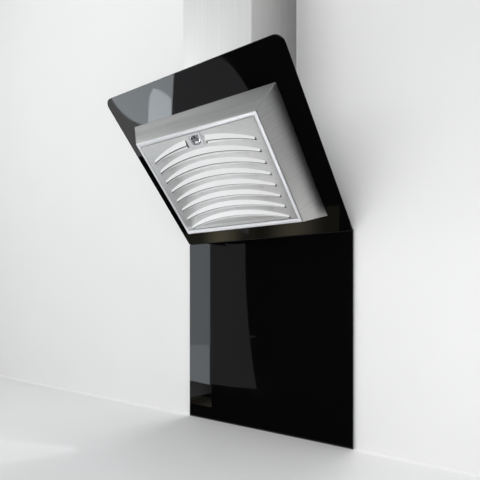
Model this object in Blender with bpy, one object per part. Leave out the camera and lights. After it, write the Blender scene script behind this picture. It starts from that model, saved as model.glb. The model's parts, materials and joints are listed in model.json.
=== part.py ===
"""Angled wall cooker hood: leaning black glass, steel suction box with an arched filter, blower, chimney.

Metres, +Z up. The wall is the plane y = 0 and the hood faces -Y. The origin is the middle of the wall
bracket's back face. Three working frames carry the pieces:
  hood  upright, its z counted from the fold between the two glass panels
  head  leaning with the glass: x across, y up the glass, z out of its front face
  sill  on the underside of the suction box: x across, y from the glass to the rim, z out of the sheet
"""
import math

import bmesh
import bpy

# Fits and sheet
GAP = 0.0003                  # between two faces that touch
RUN = 0.0003                  # round a pin or a shaft
SHEET = 0.0012                # folded steel
ROUND_STEPS = 20              # sides of a small round piece

# Glass panels
HOOD_WIDTH = 0.700
GLASS_THICK = 0.006
GLASS_LENGTH = 0.604
GLASS_LEAN = math.radians(42.4)
GLASS_CORNER = 0.028
BACK_PANEL_HEIGHT = 0.681
BACK_PANEL_OFF_WALL = 0.004
FOLD_PROUD = 0.0018           # foot of the leaning glass in front of the back panel
FOLD_JOINT = 0.0015           # open joint between the two panels
PAD_HEIGHT = 0.040
PAD_INSET = 0.030
SEAL_INSET = 0.002
SEAL_LIP = 0.0035             # glass foot left bare in front of the seal
SEAL_TOP = 0.006
SEAL_OFF_WALL = 0.001

# Body behind the glass, and the bracket that carries it
BODY_WIDTH = 0.350
BODY_LOW = 0.075              # above the fold
BODY_HIGH = 0.385
BODY_FLANGE = 0.022
GASKET_THICK = 0.003
GASKET_MARGIN = 0.003
BRACKET_WIDTH = 0.260
BRACKET_HEIGHT = 0.060
BRACKET_THICK = 0.003
BRACKET_BELOW_TOP = 0.055
BRACKET_HOLE = 0.003
BRACKET_HOLE_SPAN = (0.035, 0.115)
HOOK_SPAN = 0.090
HOOK_WIDTH = 0.030
HOOK_ABOVE_CENTRE = 0.015
HOOK_RISE = 0.017
HOOK_DROP_IN = 0.020          # slot height below the hook, to hang the body over it
HOOK_CLEAR = 0.0006

# Suction box, measured up the glass from its foot
BOX_BACK_WIDTH = 0.572
BOX_BACK_LOW = 0.0624
BOX_BACK_HIGH = 0.494
BOX_FRONT_WIDTH = 0.485
BOX_FRONT_LOW = 0.0953
BOX_FRONT_HIGH = 0.4597
BOX_DEPTH = 0.072
RIM_SIDE = 0.012
RIM_TOP = 0.012
RIM_FOOT = 0.0155

# Air opening through box, glass and gasket, and the bolts that clamp them
AIR_SIDE = 0.010              # inside the body's width
AIR_FOOT = 0.050              # inside the box back
AIR_HEAD = 0.046
AIR_CORNER = 0.015
BOLT_RADIUS = 0.003
BOLT_HOLE = 0.0034
GLASS_HOLE = 0.0045
BOLT_HEX = 0.0055
BOLT_HEAD = 0.004
BOLT_NUT = 0.005
BOLT_END_MARGIN = 0.018

# Filter: arched plate, frame and mesh, hinged at the foot
FILTER_CLEAR = 0.0015
PLATE_SHEET = 0.001
PLATE_RETURN = 0.003
SLOT_PITCH = 0.0379
SLOT_BELOW_TOP = 0.0612       # plate's top edge to the tips of the first slot
SLOT_ABOVE_FOOT = 0.0062
SLOT_SIDE = 0.022
SLOT_RISE = 0.0437            # arch where the brow over a slot leaves the plate
SLOT_HOLLOW = 0.0263          # arch where the lip under it leaves the plate
SLOT_END = 0.0048             # half the height of a slot's open ends
SLOT_NOTCH = 0.001            # by which brow and lip stop short of the ends
SLOT_SPLIT = 0.68             # share of the way down from brow to lip where the sheet is slit
SLOT_LATCH_CLEAR = 0.008
SLOT_STEPS = 12
SLIT_WIDTH = 0.0027           # between the edges of brow and lip, seen square to the plate
BROW_PRESS = 0.005            # how far the brow stands out of the plate
LIP_PRESS = 0.0015
PRESS_AT_ENDS = 0.8           # share of their height that brow and lip keep at the ends
FRAME_SIDE = 0.0055           # inside the plate's edge
FRAME_FOOT = 0.002
FRAME_TOP = 0.0062
FRAME_WALL = 0.0012
FRAME_LIP = 0.003
FRAME_SHELF = 0.0082          # plate front to the shelf that keeps the mesh off the slots
MESH_THICK = 0.004
HINGE_ABOVE_FOOT = 0.008
HINGE_BEHIND_FACE = 0.006
PIN_RADIUS = 0.00175
PIN_HEAD = 0.0026
PIN_HEAD_THICK = 0.0014
PIN_REACH = 0.0025            # past the filter frame's wall
LUG_CLEAR = 0.0013
LUG_HEIGHT = 0.021
LUG_DEPTH = 0.0105
LUG_FOOT = 0.0087
LUG_SHEET = 0.0015

# Filter catch
LATCH_WIDTH = 0.056
LATCH_HEIGHT = 0.043
LATCH_BELOW_TOP = 0.0012
LATCH_PROUD = 0.002
LATCH_BEZEL = 0.003           # bezel overlap on the plate
LATCH_DEPTH = 0.0075          # behind the plate's front face
LATCH_WALL = 0.0015
LATCH_FLOOR = 0.0012
LATCH_LIP = 0.0065            # bezel edge over the slide's wings
LATCH_ROUND = 0.012           # lower corners of the bezel's window
LATCH_EASE = 0.0005
LATCH_STEPS = 4
SLIDE_TRAVEL = 0.006
SLIDE_WING_THICK = 0.004
SLIDE_WING_HEIGHT = 0.015
SLIDE_PAD_THICK = 0.0022
TONGUE_WIDTH = 0.020
TONGUE_THICK = 0.0027
TONGUE_SHORT = 0.0006         # tongue ends this far below the rim's edge
KEEPER_WIDTH = 0.016
KEEPER_SHEET = 0.0006
KEEPER_HOLD = 0.0006          # keeper's bead over the tongue
KEEPER_FOOT = 0.008
SCOOP_WIDTH = 0.026
SCOOP_HEIGHT = 0.022
SCOOP_DEPTH = 0.0045
SPRING_RADIUS = 0.0016
SPRING_WIRE = 0.0004
SPRING_TURNS = 6
SPRING_STEPS = 8

# Underside: lamps and control strip
LAMP_SPAN = 0.165
LAMP_RING = 0.031
LAMP_RING_PROUD = 0.0015
LAMP_BARREL = 0.0262
LAMP_DEPTH = 0.020
LAMP_TAIL = 0.018
LAMP_TAIL_DEPTH = 0.004
LAMP_RECESS = 0.0045
LENS_RADIUS = 0.0235
LENS_THICK = 0.003
STRIP_LENGTH = 0.176
STRIP_WIDTH = 0.034
STRIP_PROUD = 0.0018
STRIP_LIP = 0.005
STRIP_WALL = 0.0015
STRIP_DEPTH = 0.012
BUTTON_COUNT = 5
BUTTON_PITCH = 0.031
BUTTON_LENGTH = 0.020
BUTTON_WIDTH = 0.012
BUTTON_CORNER = 0.003
BUTTON_PROUD = 0.003
BUTTON_FLANGE = 0.0012
BUTTON_FLANGE_THICK = 0.0015
BUTTON_TRAVEL = 0.002
BOARD_THICK = 0.010
PLUNGER_RADIUS = 0.003

# Blower
FAN_BELOW_TOP = 0.110
FAN_OFF_WALL = 0.098
SCROLL_TONGUE = 0.076         # radius where the spiral starts
SCROLL_MOUTH = 0.112          # radius where it runs into the outlet
SCROLL_START = math.radians(5)
SCROLL_WALL = 0.0015
SCROLL_HALF = 0.085
SCROLL_FLANGE = 0.012
SCROLL_STEPS = 28
INLET_RADIUS = 0.052
INLET_LIP = 0.0063
WHEEL_RADIUS = 0.068
WHEEL_HALF = 0.075
WHEEL_DISC = 0.0665
WHEEL_PLATE = 0.003
WHEEL_RING = 0.009
WHEEL_RING_WIDTH = 0.004
HUB_RADIUS = 0.012
HUB_HALF = 0.010
BLADE_COUNT = 20
BLADE_STEPS = 2
BLADE_CHORD = 0.0105
BLADE_SHEET = 0.0012
BLADE_SWEEP = math.radians(14)
SHAFT_RADIUS = 0.004
SHAFT_TAIL = 0.003
SHAFT_IN_MOTOR = 0.024
MOTOR_RADIUS = 0.036
MOTOR_CHAMFER = 0.005
MOTOR_OFF_HUB = 0.004
SPIDER_RIM = 0.012
SPIDER_HUB = 0.030
SPIDER_ARM = math.radians(14)

# Outlet
COLLAR_BORE = 0.0585
COLLAR_WALL = 0.0015
COLLAR_HEIGHT = 0.055
COLLAR_FLANGE = 0.012
LEDGE = 0.003
FLAP_HEIGHT = 0.030           # hinge line above the body
FLAP_SHEET = 0.001
FLAP_CLEAR = 0.0015
FLAP_PIN = 0.0015
FLAP_STEPS = 14
KNUCKLE_WALL = 0.0012
KNUCKLE_CLEAR = 0.001
KNUCKLES = ((-0.040, -0.022), (-0.018, 0.000), (0.004, 0.022), (0.026, 0.044))

# Chimney
CHIMNEY_WIDTH = 0.2842
CHIMNEY_DEPTH = 0.2586        # from the wall
CHIMNEY_OFF_WALL = 0.0025
CHIMNEY_RETURN = 0.015
CHIMNEY_LOWER_TOP = 0.800     # above the fold
CHIMNEY_TOP = 0.890
CHIMNEY_UPPER_LENGTH = 0.330
CHIMNEY_SLIDE_CLEAR = 0.0008
CLIP_HEIGHT = 0.025
CLIP_SHEET = 0.0015
CLIP_OVERLAP = 0.008
CLIP_SLOPE = 0.006
CLIP_ABOVE_BODY = 0.015
CLIP_BELOW_TOP = 0.010
FOOT_HEIGHT = 0.030
FOOT_BASE = 0.026
FOOT_LENGTH = 0.100
FOOT_SHEET = 0.0015
SCREW_RADIUS = 0.002
SCREW_HEAD = 0.004
SCREW_HEAD_THICK = 0.002
SCREW_TAIL = 0.004
SCREW_ABOVE_BODY = 0.017

# Terminal box inside the body
TERMINAL_LEFT = -0.130
TERMINAL_LENGTH = 0.080
TERMINAL_HEIGHT = 0.050
TERMINAL_DEPTH = 0.030
TERMINAL_LID = 0.002
TERMINAL_ABOVE_FLOOR = 0.006

# Places worked out from the sizes above
SIN = math.sin(GLASS_LEAN)
COS = math.cos(GLASS_LEAN)
fold_y = -(BACK_PANEL_OFF_WALL + GLASS_THICK + FOLD_PROUD)
fold_z = -(BODY_HIGH - BRACKET_BELOW_TOP)
flange_front = -(GLASS_THICK + GASKET_THICK + 2 * GAP)
body_back = -(BRACKET_THICK + GAP)
plate_half = BOX_FRONT_WIDTH / 2 - RIM_SIDE - FILTER_CLEAR
plate_low = BOX_FRONT_LOW + RIM_FOOT + FILTER_CLEAR
plate_high = BOX_FRONT_HIGH - RIM_TOP - FILTER_CLEAR
plate_back = BOX_DEPTH - PLATE_SHEET
hinge_r = plate_low + HINGE_ABOVE_FOOT
hinge_n = BOX_DEPTH - HINGE_BEHIND_FACE
fan_z = BODY_HIGH - FAN_BELOW_TOP
chimney_half = CHIMNEY_WIDTH / 2
chimney_foot = BODY_HIGH + GAP

for old in list(bpy.data.objects):
    bpy.data.objects.remove(old)


# Finishes

def finish(name, colour, roughness, metallic):
    material = bpy.data.materials.new(name)
    material.use_nodes = True
    shader = material.node_tree.nodes["Principled BSDF"]
    shader.inputs["Base Color"].default_value = (*colour, 1.0)
    shader.inputs["Roughness"].default_value = roughness
    shader.inputs["Metallic"].default_value = metallic
    return material


BLACK_GLASS = finish("black_glass", (0.006, 0.006, 0.007), 0.04, 0.0)
BRUSHED_STEEL = finish("brushed_steel", (0.58, 0.57, 0.55), 0.34, 1.0)
PRESSED_STEEL = finish("pressed_steel", (0.66, 0.66, 0.65), 0.38, 1.0)
ALUMINIUM_MESH = finish("aluminium_mesh", (0.80, 0.80, 0.81), 0.42, 1.0)
ZINC_STEEL = finish("zinc_plated_steel", (0.48, 0.49, 0.50), 0.45, 1.0)
SPRING_STEEL = finish("spring_steel", (0.42, 0.42, 0.43), 0.35, 1.0)
RUBBER = finish("black_rubber", (0.015, 0.015, 0.015), 0.75, 0.0)
GREY_PLASTIC = finish("grey_plastic", (0.50, 0.51, 0.54), 0.40, 0.0)
BLACK_PLASTIC = finish("black_plastic", (0.02, 0.02, 0.022), 0.50, 0.0)
BLACK_PAINT = finish("black_painted_steel", (0.03, 0.03, 0.032), 0.45, 0.0)
WHITE_PLASTIC = finish("white_plastic", (0.75, 0.75, 0.72), 0.50, 0.0)
LAMP_GLASS = finish("frosted_lamp_glass", (0.90, 0.86, 0.74), 0.25, 0.0)


# Frames

def frame(name, parent, place, turn=0.0):
    empty = bpy.data.objects.new(name, None)
    bpy.context.collection.objects.link(empty)
    empty.parent = parent
    empty.location = place
    empty.rotation_euler = (turn, 0.0, 0.0)
    return empty


def lean_point(up, out):
    """A point of the head frame as y and z of the hood frame."""
    return fold_y - up * SIN - out * COS, up * COS - out * SIN


def up_glass(height, out):
    """How far up the glass a height above the fold lies, on a plane parallel to it."""
    return (height + out * SIN) / COS


sill_run = (BOX_FRONT_LOW - BOX_BACK_LOW, BOX_DEPTH - GAP)
hood = frame("hood", None, (0, 0, fold_z))
head = frame("head", hood, (0, fold_y, 0), math.pi / 2 + GLASS_LEAN)
sill_place = (0, BOX_BACK_LOW + sill_run[0] / 2, GAP + sill_run[1] / 2)
sill = frame("sill", head, sill_place, math.atan2(sill_run[1], sill_run[0]))


# Outlines

def rectangle(x0, x1, y0, y1):
    return [(x0, y0), (x1, y0), (x1, y1), (x0, y1)]


def rounded(x0, x1, y0, y1, radii, steps=6):
    """Rectangle with a radius for each corner, counted from the low left one against the clock."""
    corners = ((x0, y0, 1, 1), (x1, y0, -1, 1), (x1, y1, -1, -1), (x0, y1, 1, -1))
    loop = []
    for turn, ((x, y, right, up), radius) in enumerate(zip(corners, radii)):
        if not radius:
            loop.append((x, y))
            continue
        for step in range(steps + 1):
            angle = math.pi + turn * math.pi / 2 + step * math.pi / 2 / steps
            across = x + right * radius + radius * math.cos(angle)
            loop.append((across, y + up * radius + radius * math.sin(angle)))
    return loop


def circle(radius, x=0.0, y=0.0, steps=32):
    turns = (2 * math.pi * step / steps for step in range(steps))
    return [(x + radius * math.cos(turn), y + radius * math.sin(turn)) for turn in turns]


def hexagon(radius, steps=12):
    """Six-sided outline with a point at each corner and each middle of a side."""
    loop = []
    for step in range(steps):
        reach = radius if step % 2 == 0 else radius * math.cos(math.pi / 6)
        turn = 2 * math.pi * step / steps
        loop.append((reach * math.cos(turn), reach * math.sin(turn)))
    return loop


def grown(loop, distance):
    """Outline moved outwards by a distance, with mitred corners."""
    result = []
    for index, (x, y) in enumerate(loop):
        before = loop[index - 1]
        after = loop[(index + 1) % len(loop)]
        first = math.atan2(y - before[1], x - before[0]) - math.pi / 2
        second = math.atan2(after[1] - y, after[0] - x) - math.pi / 2
        normal = (math.cos(first) + math.cos(second), math.sin(first) + math.sin(second))
        size = normal[0] ** 2 + normal[1] ** 2
        reach = 2 * distance / size
        result.append((x + normal[0] * reach, y + normal[1] * reach))
    return result


# Solids

def flat(u, v, depth):
    return u, v, depth


def along_x(u, v, depth):
    return depth, u, v


def along_y(u, v, depth):
    return u, depth, v


def publish(name, bm, material, parent, smooth=False, location=(0, 0, 0)):
    bmesh.ops.recalc_face_normals(bm, faces=bm.faces[:])
    mesh = bpy.data.meshes.new(name)
    bm.to_mesh(mesh)
    bm.free()
    mesh.materials.append(material)
    if smooth:
        mesh.shade_smooth()
        mesh.set_sharp_from_angle(angle=math.radians(35))
    item = bpy.data.objects.new(name, mesh)
    bpy.context.collection.objects.link(item)
    item.parent = parent
    item.location = location
    return item


def add_solid(bm, outer, holes=(), front=(), place=flat, slits=()):
    """Closed body between a front and a back cap.

    outer and every one of holes is a chain of (outline, depth) rings from the front cap to the back cap.
    A chain in front starts on the front cap and ends in a cap of its own, as a boss or a pocket.
    Each of slits is a ring of points on the front cap and one on the back cap, already joined to each other.
    """
    def walls(chain):
        rings = [[bm.verts.new(place(u, v, depth)) for u, v in loop] for loop, depth in chain]
        for one, two in zip(rings, rings[1:]):
            for index in range(len(one)):
                bm.faces.new((one[index - 1], one[index], two[index], two[index - 1]))
        return rings[0], rings[-1]

    def cap(rings):
        if len(rings) == 1:
            bm.faces.new(rings[0])
            return
        edges = []
        for ring in rings:
            pairs = ((ring[index - 1], ring[index]) for index in range(len(ring)))
            edges += [bm.edges.get(pair) or bm.edges.new(pair) for pair in pairs]
        bmesh.ops.triangle_fill(bm, edges=edges, use_beauty=True)

    sides = walls(outer)
    through = [walls(chain) for chain in holes]
    raised = [walls(chain) for chain in front]
    cap([sides[0]] + [ends[0] for ends in through + raised] + [rings[0] for rings in slits])
    cap([sides[1]] + [ends[1] for ends in through] + [rings[1] for rings in slits])
    for ends in raised:
        cap([ends[1]])


def solid(name, material, parent, outer, holes=(), front=(), place=flat, smooth=False, location=(0, 0, 0)):
    bm = bmesh.new()
    add_solid(bm, outer, holes, front, place)
    return publish(name, bm, material, parent, smooth, location)


def prism(loop, start, end):
    return [(loop, start), (loop, end)]


def tool(item):
    """Marks an object as a cutter or an addition that is not a piece of its own."""
    item.hide_render = True
    item.display_type = "WIRE"
    return item


def combine(item, operation, other):
    change = item.modifiers.new(other.name, "BOOLEAN")
    change.operation = operation
    change.solver = "EXACT"
    change.object = other


def cutters(name, parent, bodies, place=flat):
    """Several closed cutting bodies in one object, each an outline with its two depths."""
    bm = bmesh.new()
    for loop, start, end in bodies:
        add_solid(bm, prism(loop, start, end), place=place)
    return tool(publish(name, bm, ZINC_STEEL, parent))


# Wall bracket: a plate with two hooks that the body hangs on

bracket_z = BODY_HIGH - BRACKET_BELOW_TOP
hook_z = bracket_z + HOOK_ABOVE_CENTRE
hook_front = body_back - SHEET - GAP
hole_places = [side * span for side in (-1, 1) for span in BRACKET_HOLE_SPAN]
bracket_holes = [circle(BRACKET_HOLE, across, bracket_z, 12) for across in hole_places]
bracket_face = rectangle(-BRACKET_WIDTH / 2, BRACKET_WIDTH / 2,
                         bracket_z - BRACKET_HEIGHT / 2, bracket_z + BRACKET_HEIGHT / 2)
wall_bracket = solid("wall_bracket", ZINC_STEEL, hood, prism(bracket_face, 0, -BRACKET_THICK),
                     [prism(hole, 0, -BRACKET_THICK) for hole in bracket_holes], place=along_y)
hook_face = hook_front - BRACKET_THICK
hook_profile = [
    (-BRACKET_THICK / 2, hook_z), (-BRACKET_THICK / 2, hook_z - BRACKET_THICK),
    (hook_face, hook_z - BRACKET_THICK), (hook_face, hook_z + HOOK_RISE),
    (hook_front, hook_z + HOOK_RISE), (hook_front, hook_z)]
for side in (-1, 1):
    span = (side * HOOK_SPAN - HOOK_WIDTH / 2, side * HOOK_SPAN + HOOK_WIDTH / 2)
    hook = solid(f"hook_{side}", ZINC_STEEL, hood, prism(hook_profile, *span), place=along_x)
    combine(wall_bracket, "UNION", tool(hook))


# Body: folded sheet housing with a flange that takes the glass

def body_profile(inset, out):
    low = BODY_LOW + inset
    high = BODY_HIGH - inset
    return [(body_back - inset, low), lean_point(up_glass(low, out), out),
            lean_point(up_glass(high, out), out), (body_back - inset, high)]


def ring_bounds(margin):
    """Half width, lower and upper edge of the body's flange, drawn in by a margin."""
    low = up_glass(BODY_LOW, flange_front) - BODY_FLANGE + margin
    high = up_glass(BODY_HIGH, flange_front) + BODY_FLANGE - margin
    return BODY_WIDTH / 2 + BODY_FLANGE - margin, low, high


air_half = BODY_WIDTH / 2 - AIR_SIDE
air_low = BOX_BACK_LOW + AIR_FOOT
air_high = BOX_BACK_HIGH - AIR_HEAD
bolt_s = BODY_WIDTH / 2 + BODY_FLANGE / 2
bolt_rows = (air_low + BOLT_END_MARGIN, (air_low + air_high) / 2, air_high - BOLT_END_MARGIN)
bolt_places = [(side * bolt_s, row) for side in (-1, 1) for row in bolt_rows]
bolt_cutter = cutters("bolt_cutter", head, [
    (circle(BOLT_HOLE, s, r, 12), BOLT_NUT, flange_front - BOLT_NUT) for s, r in bolt_places])

half, low, high = ring_bounds(0)
flange = solid("body_flange", ZINC_STEEL, head,
               prism(rectangle(-half, half, low, high), flange_front, flange_front - SHEET))
body_half = BODY_WIDTH / 2
body_shell = solid("body_shell", ZINC_STEEL, hood,
                   prism(body_profile(0, flange_front - SHEET / 2), -body_half, body_half), place=along_x)
combine(body_shell, "UNION", tool(flange))
hollow = solid("body_hollow", ZINC_STEEL, hood,
               prism(body_profile(SHEET, GLASS_THICK), -body_half + SHEET, body_half - SHEET), place=along_x)
combine(body_shell, "DIFFERENCE", tool(hollow))
combine(body_shell, "DIFFERENCE", bolt_cutter)
slot_half = HOOK_WIDTH / 2 + HOOK_CLEAR
combine(body_shell, "DIFFERENCE", cutters("hook_slots", hood, [
    (rectangle(side * HOOK_SPAN - slot_half, side * HOOK_SPAN + slot_half,
               hook_z - BRACKET_THICK - HOOK_DROP_IN, hook_z + GAP),
     body_back + SHEET, body_back - 2 * SHEET) for side in (-1, 1)], along_y))

# Scroll outline, worked out here because the outlet hole in the body follows it
tongue_y = -FAN_OFF_WALL + SCROLL_TONGUE * math.sin(SCROLL_START)
mouth_y = -FAN_OFF_WALL - SCROLL_MOUTH
outlet_y = (tongue_y + mouth_y) / 2
combine(body_shell, "DIFFERENCE", cutters("outlet_hole", hood, [
    (circle(COLLAR_BORE, 0, outlet_y), BODY_HIGH + SHEET, BODY_HIGH - 2 * SHEET)]))


# Leaning glass, its gasket and the bolts through both

glass_loop = rounded(-HOOD_WIDTH / 2, HOOD_WIDTH / 2, 0, GLASS_LENGTH, (0, 0, GLASS_CORNER, GLASS_CORNER))
air_loop = rounded(-air_half, air_half, air_low, air_high, [AIR_CORNER] * 4)
glass_holes = [air_loop] + [circle(GLASS_HOLE, s, r, 16) for s, r in bolt_places]
solid("glass_panel", BLACK_GLASS, head, prism(glass_loop, 0, -GLASS_THICK),
      [prism(loop, 0, -GLASS_THICK) for loop in glass_holes])

half, low, high = ring_bounds(GASKET_MARGIN)
seat_low = up_glass(BODY_LOW + SHEET, flange_front)
seat_high = up_glass(BODY_HIGH - SHEET, flange_front)
gasket_hole = rectangle(-body_half + SHEET, body_half - SHEET, seat_low, seat_high)
gasket_holes = [gasket_hole] + [circle(BOLT_HOLE, s, r, 12) for s, r in bolt_places]
gasket_top = -GLASS_THICK - GAP
solid("glass_gasket", RUBBER, head,
      prism(rectangle(-half, half, low, high), gasket_top, gasket_top - GASKET_THICK),
      [prism(loop, gasket_top, gasket_top - GASKET_THICK) for loop in gasket_holes])

head_seat = 2 * GAP + SHEET
nut_seat = flange_front - SHEET - GAP
bolt_hex = hexagon(BOLT_HEX)
bolt_round = circle(BOLT_RADIUS, steps=12)
bolt_chain = [
    (bolt_hex, head_seat + BOLT_HEAD), (bolt_hex, head_seat), (bolt_round, head_seat),
    (bolt_round, nut_seat), (bolt_hex, nut_seat), (bolt_hex, nut_seat - BOLT_NUT)]
for number, (s, r) in enumerate(bolt_places, 1):
    solid(f"through_bolt_{number}", ZINC_STEEL, head, bolt_chain, location=(s, r, 0))


# Suction box: one folded hood with a flat rim and a back plate on the glass

def box_outline(back, inset):
    width = BOX_BACK_WIDTH if back else BOX_FRONT_WIDTH
    low = BOX_BACK_LOW if back else BOX_FRONT_LOW
    high = BOX_BACK_HIGH if back else BOX_FRONT_HIGH
    return rectangle(-width / 2 + inset, width / 2 - inset, low + inset, high - inset)


rim_opening = rectangle(-BOX_FRONT_WIDTH / 2 + RIM_SIDE, BOX_FRONT_WIDTH / 2 - RIM_SIDE,
                        BOX_FRONT_LOW + RIM_FOOT, BOX_FRONT_HIGH - RIM_TOP)
box_air = rectangle(-air_half, air_half, air_low, air_high)
suction_box = solid(
    "suction_box", BRUSHED_STEEL, head,
    [(box_outline(False, 0), BOX_DEPTH), (box_outline(True, 0), GAP)],
    [[(rim_opening, BOX_DEPTH), (rim_opening, BOX_DEPTH - SHEET),
      (box_outline(False, SHEET), BOX_DEPTH - SHEET), (box_outline(True, SHEET), GAP + SHEET),
      (box_air, GAP + SHEET), (box_air, GAP)]])
combine(suction_box, "DIFFERENCE", bolt_cutter)
strip_neck = (STRIP_LENGTH / 2 - STRIP_LIP, STRIP_WIDTH / 2 - STRIP_LIP)
strip_hole = grown(rectangle(-strip_neck[0], strip_neck[0], -strip_neck[1], strip_neck[1]), GAP)
lamp_holes = [circle(LAMP_BARREL + GAP, side * LAMP_SPAN, 0, ROUND_STEPS) for side in (-1, 1)]
combine(suction_box, "DIFFERENCE", cutters("underside_holes", sill, [
    (loop, 2 * SHEET, -4 * SHEET) for loop in lamp_holes + [strip_hole]]))


# Filter plate: eight arched slots, each under a pressed-out brow, the first one broken by the catch

filter_axis = frame("filter_axis", head, (0, hinge_r, hinge_n))
on_filter = (0, -hinge_r, -hinge_n)
latch_high = plate_high - LATCH_BELOW_TOP
latch_low = latch_high - LATCH_HEIGHT
latch_half = LATCH_WIDTH / 2
slot_reach = plate_half - SLOT_SIDE
slot_break = latch_half + SLOT_LATCH_CLEAR
first_tip = plate_high - SLOT_BELOW_TOP
slot_count = int((first_tip - plate_low - SLOT_ABOVE_FOOT) / SLOT_PITCH) + 1


def arch(across, rise):
    """Height of a circular arch above its ends at the tips of a slot."""
    radius = (slot_reach ** 2 + rise ** 2) / (2 * rise)
    return math.sqrt(radius ** 2 - across ** 2) - radius + rise


def slot_section(across):
    """Height above the tips and out of the plate: the brow's foot and edge, then the lip's edge and foot."""
    high = arch(across, SLOT_RISE) + SLOT_END
    low = arch(across, SLOT_HOLLOW) - SLOT_END
    slit = high + (low - high) * SLOT_SPLIT
    press = 1 - (1 - PRESS_AT_ENDS) * (across / slot_reach) ** 2
    return [(high, 0.0), (slit + SLIT_WIDTH / 2, press * BROW_PRESS),
            (slit - SLIT_WIDTH / 2, press * LIP_PRESS), (low, 0.0)]


def add_slot(bm, tip, start, end, steps):
    """A brow and a lip pressed out of the plate's sheet, with the slit between them and both ends open.

    Returns the ring where they leave the plate's front face and the one where they leave its back face.
    """
    sheets = front, back = [], []
    for step in range(steps + 1):
        across = start + (end - start) * step / steps
        notched = across + SLOT_NOTCH * (1 - 2 * step / steps)
        for columns, face in ((front, BOX_DEPTH), (back, plate_back)):
            columns.append([bm.verts.new((notched if out else across, tip + up, face + out))
                            for up, out in slot_section(across)])
    for columns in sheets:
        for one, two in zip(columns, columns[1:]):
            for row in (0, 2):
                bm.faces.new((one[row], two[row], two[row + 1], one[row + 1]))
    for row in (1, 2):
        for step in range(steps):
            bm.faces.new((front[step][row], front[step + 1][row], back[step + 1][row], back[step][row]))
    for step in (0, steps):
        for row, other in ((0, 1), (2, 3), (0, 3)):
            bm.faces.new((front[step][row], front[step][other], back[step][other], back[step][row]))
    return [[column[-1] for column in columns] + [column[0] for column in columns[::-1]]
            for columns in sheets]


plate_mesh = bmesh.new()
slits = [add_slot(plate_mesh, first_tip, start, end, SLOT_STEPS // 2)
         for start, end in ((-slot_reach, -slot_break), (slot_break, slot_reach))]
slits += [add_slot(plate_mesh, first_tip - row * SLOT_PITCH, -slot_reach, slot_reach, SLOT_STEPS)
          for row in range(1, slot_count)]
neck_half = latch_half - LATCH_BEZEL
neck_low = latch_low + LATCH_BEZEL
neck_high = latch_high - LATCH_BEZEL
latch_hole = rectangle(-neck_half - GAP, neck_half + GAP, neck_low - GAP, neck_high + GAP)
plate_loop = rectangle(-plate_half, plate_half, plate_low, plate_high)
plate_inside = grown(plate_loop, -PLATE_SHEET)
return_end = BOX_DEPTH - PLATE_RETURN
add_solid(plate_mesh,
          [(plate_loop, BOX_DEPTH), (plate_loop, return_end),
           (plate_inside, return_end), (plate_inside, plate_back)],
          [prism(latch_hole, BOX_DEPTH, plate_back)], slits=slits)
publish("filter_plate", plate_mesh, PRESSED_STEEL, filter_axis, location=on_filter)


# Filter frame and mesh: a channel round the mesh, with holes for the hinge pins

frame_half = plate_half - FRAME_SIDE
frame_loop = rectangle(-frame_half, frame_half, plate_low + FRAME_FOOT, plate_high - FRAME_TOP)
channel_loop = grown(frame_loop, -FRAME_WALL)
lip_loop = grown(channel_loop, -FRAME_LIP)
shelf_front = BOX_DEPTH - FRAME_SHELF
mesh_front = shelf_front - FRAME_WALL - GAP
mesh_back = mesh_front - MESH_THICK
frame_back = mesh_back - GAP - FRAME_WALL
filter_frame = solid(
    "filter_frame", ZINC_STEEL, filter_axis, prism(frame_loop, plate_back - GAP, frame_back),
    [[(channel_loop, plate_back - GAP), (channel_loop, shelf_front), (lip_loop, shelf_front),
      (lip_loop, mesh_front + GAP), (channel_loop, mesh_front + GAP), (channel_loop, mesh_back - GAP),
      (lip_loop, mesh_back - GAP), (lip_loop, frame_back)]], location=on_filter)
latch_back = BOX_DEPTH - LATCH_DEPTH
notch_half = neck_half + 2 * GAP
combine(filter_frame, "DIFFERENCE", cutters("latch_notch", head, [
    (rectangle(-notch_half, notch_half, plate_high - FRAME_TOP - 2 * FRAME_WALL, plate_high),
     BOX_DEPTH, latch_back - GAP)]))
pin_cutter = cutters("pin_cutter", head, [
    (circle(PIN_RADIUS + RUN, hinge_r, hinge_n, 16), -BOX_FRONT_WIDTH / 2, BOX_FRONT_WIDTH / 2)], along_x)
combine(filter_frame, "DIFFERENCE", pin_cutter)
solid("filter_mesh", ALUMINIUM_MESH, filter_axis, prism(grown(channel_loop, -GAP), mesh_front, mesh_back),
      location=on_filter)


# Filter hinge: an angle behind each side of the rim, with a headed pin into the filter frame

lug_in = BOX_FRONT_WIDTH / 2 - RIM_SIDE + LUG_CLEAR
lug_out = lug_in + LUG_SHEET
lug_front = BOX_DEPTH - SHEET - GAP
lug_span = (hinge_r - LUG_HEIGHT / 2, hinge_r + LUG_HEIGHT / 2)
pin_round = circle(PIN_RADIUS, steps=16)
pin_cap = circle(PIN_HEAD, steps=16)
for side, word in ((-1, "left"), (1, "right")):
    angle_profile = [
        (side * lug_in, lug_front), (side * (lug_in + LUG_FOOT), lug_front),
        (side * (lug_in + LUG_FOOT), lug_front - LUG_SHEET), (side * lug_out, lug_front - LUG_SHEET),
        (side * lug_out, lug_front - LUG_DEPTH), (side * lug_in, lug_front - LUG_DEPTH)]
    angle = solid(f"hinge_bracket_{word}", ZINC_STEEL, head, prism(angle_profile, *lug_span), place=along_y)
    combine(angle, "DIFFERENCE", pin_cutter)
    pin_seat = lug_out + GAP
    solid(f"hinge_pin_{word}", ZINC_STEEL, filter_axis,
          [(pin_round, side * (frame_half - FRAME_WALL - PIN_REACH)), (pin_round, side * pin_seat),
           (pin_cap, side * pin_seat), (pin_cap, side * (pin_seat + PIN_HEAD_THICK))],
          place=along_x, smooth=True)


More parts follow.
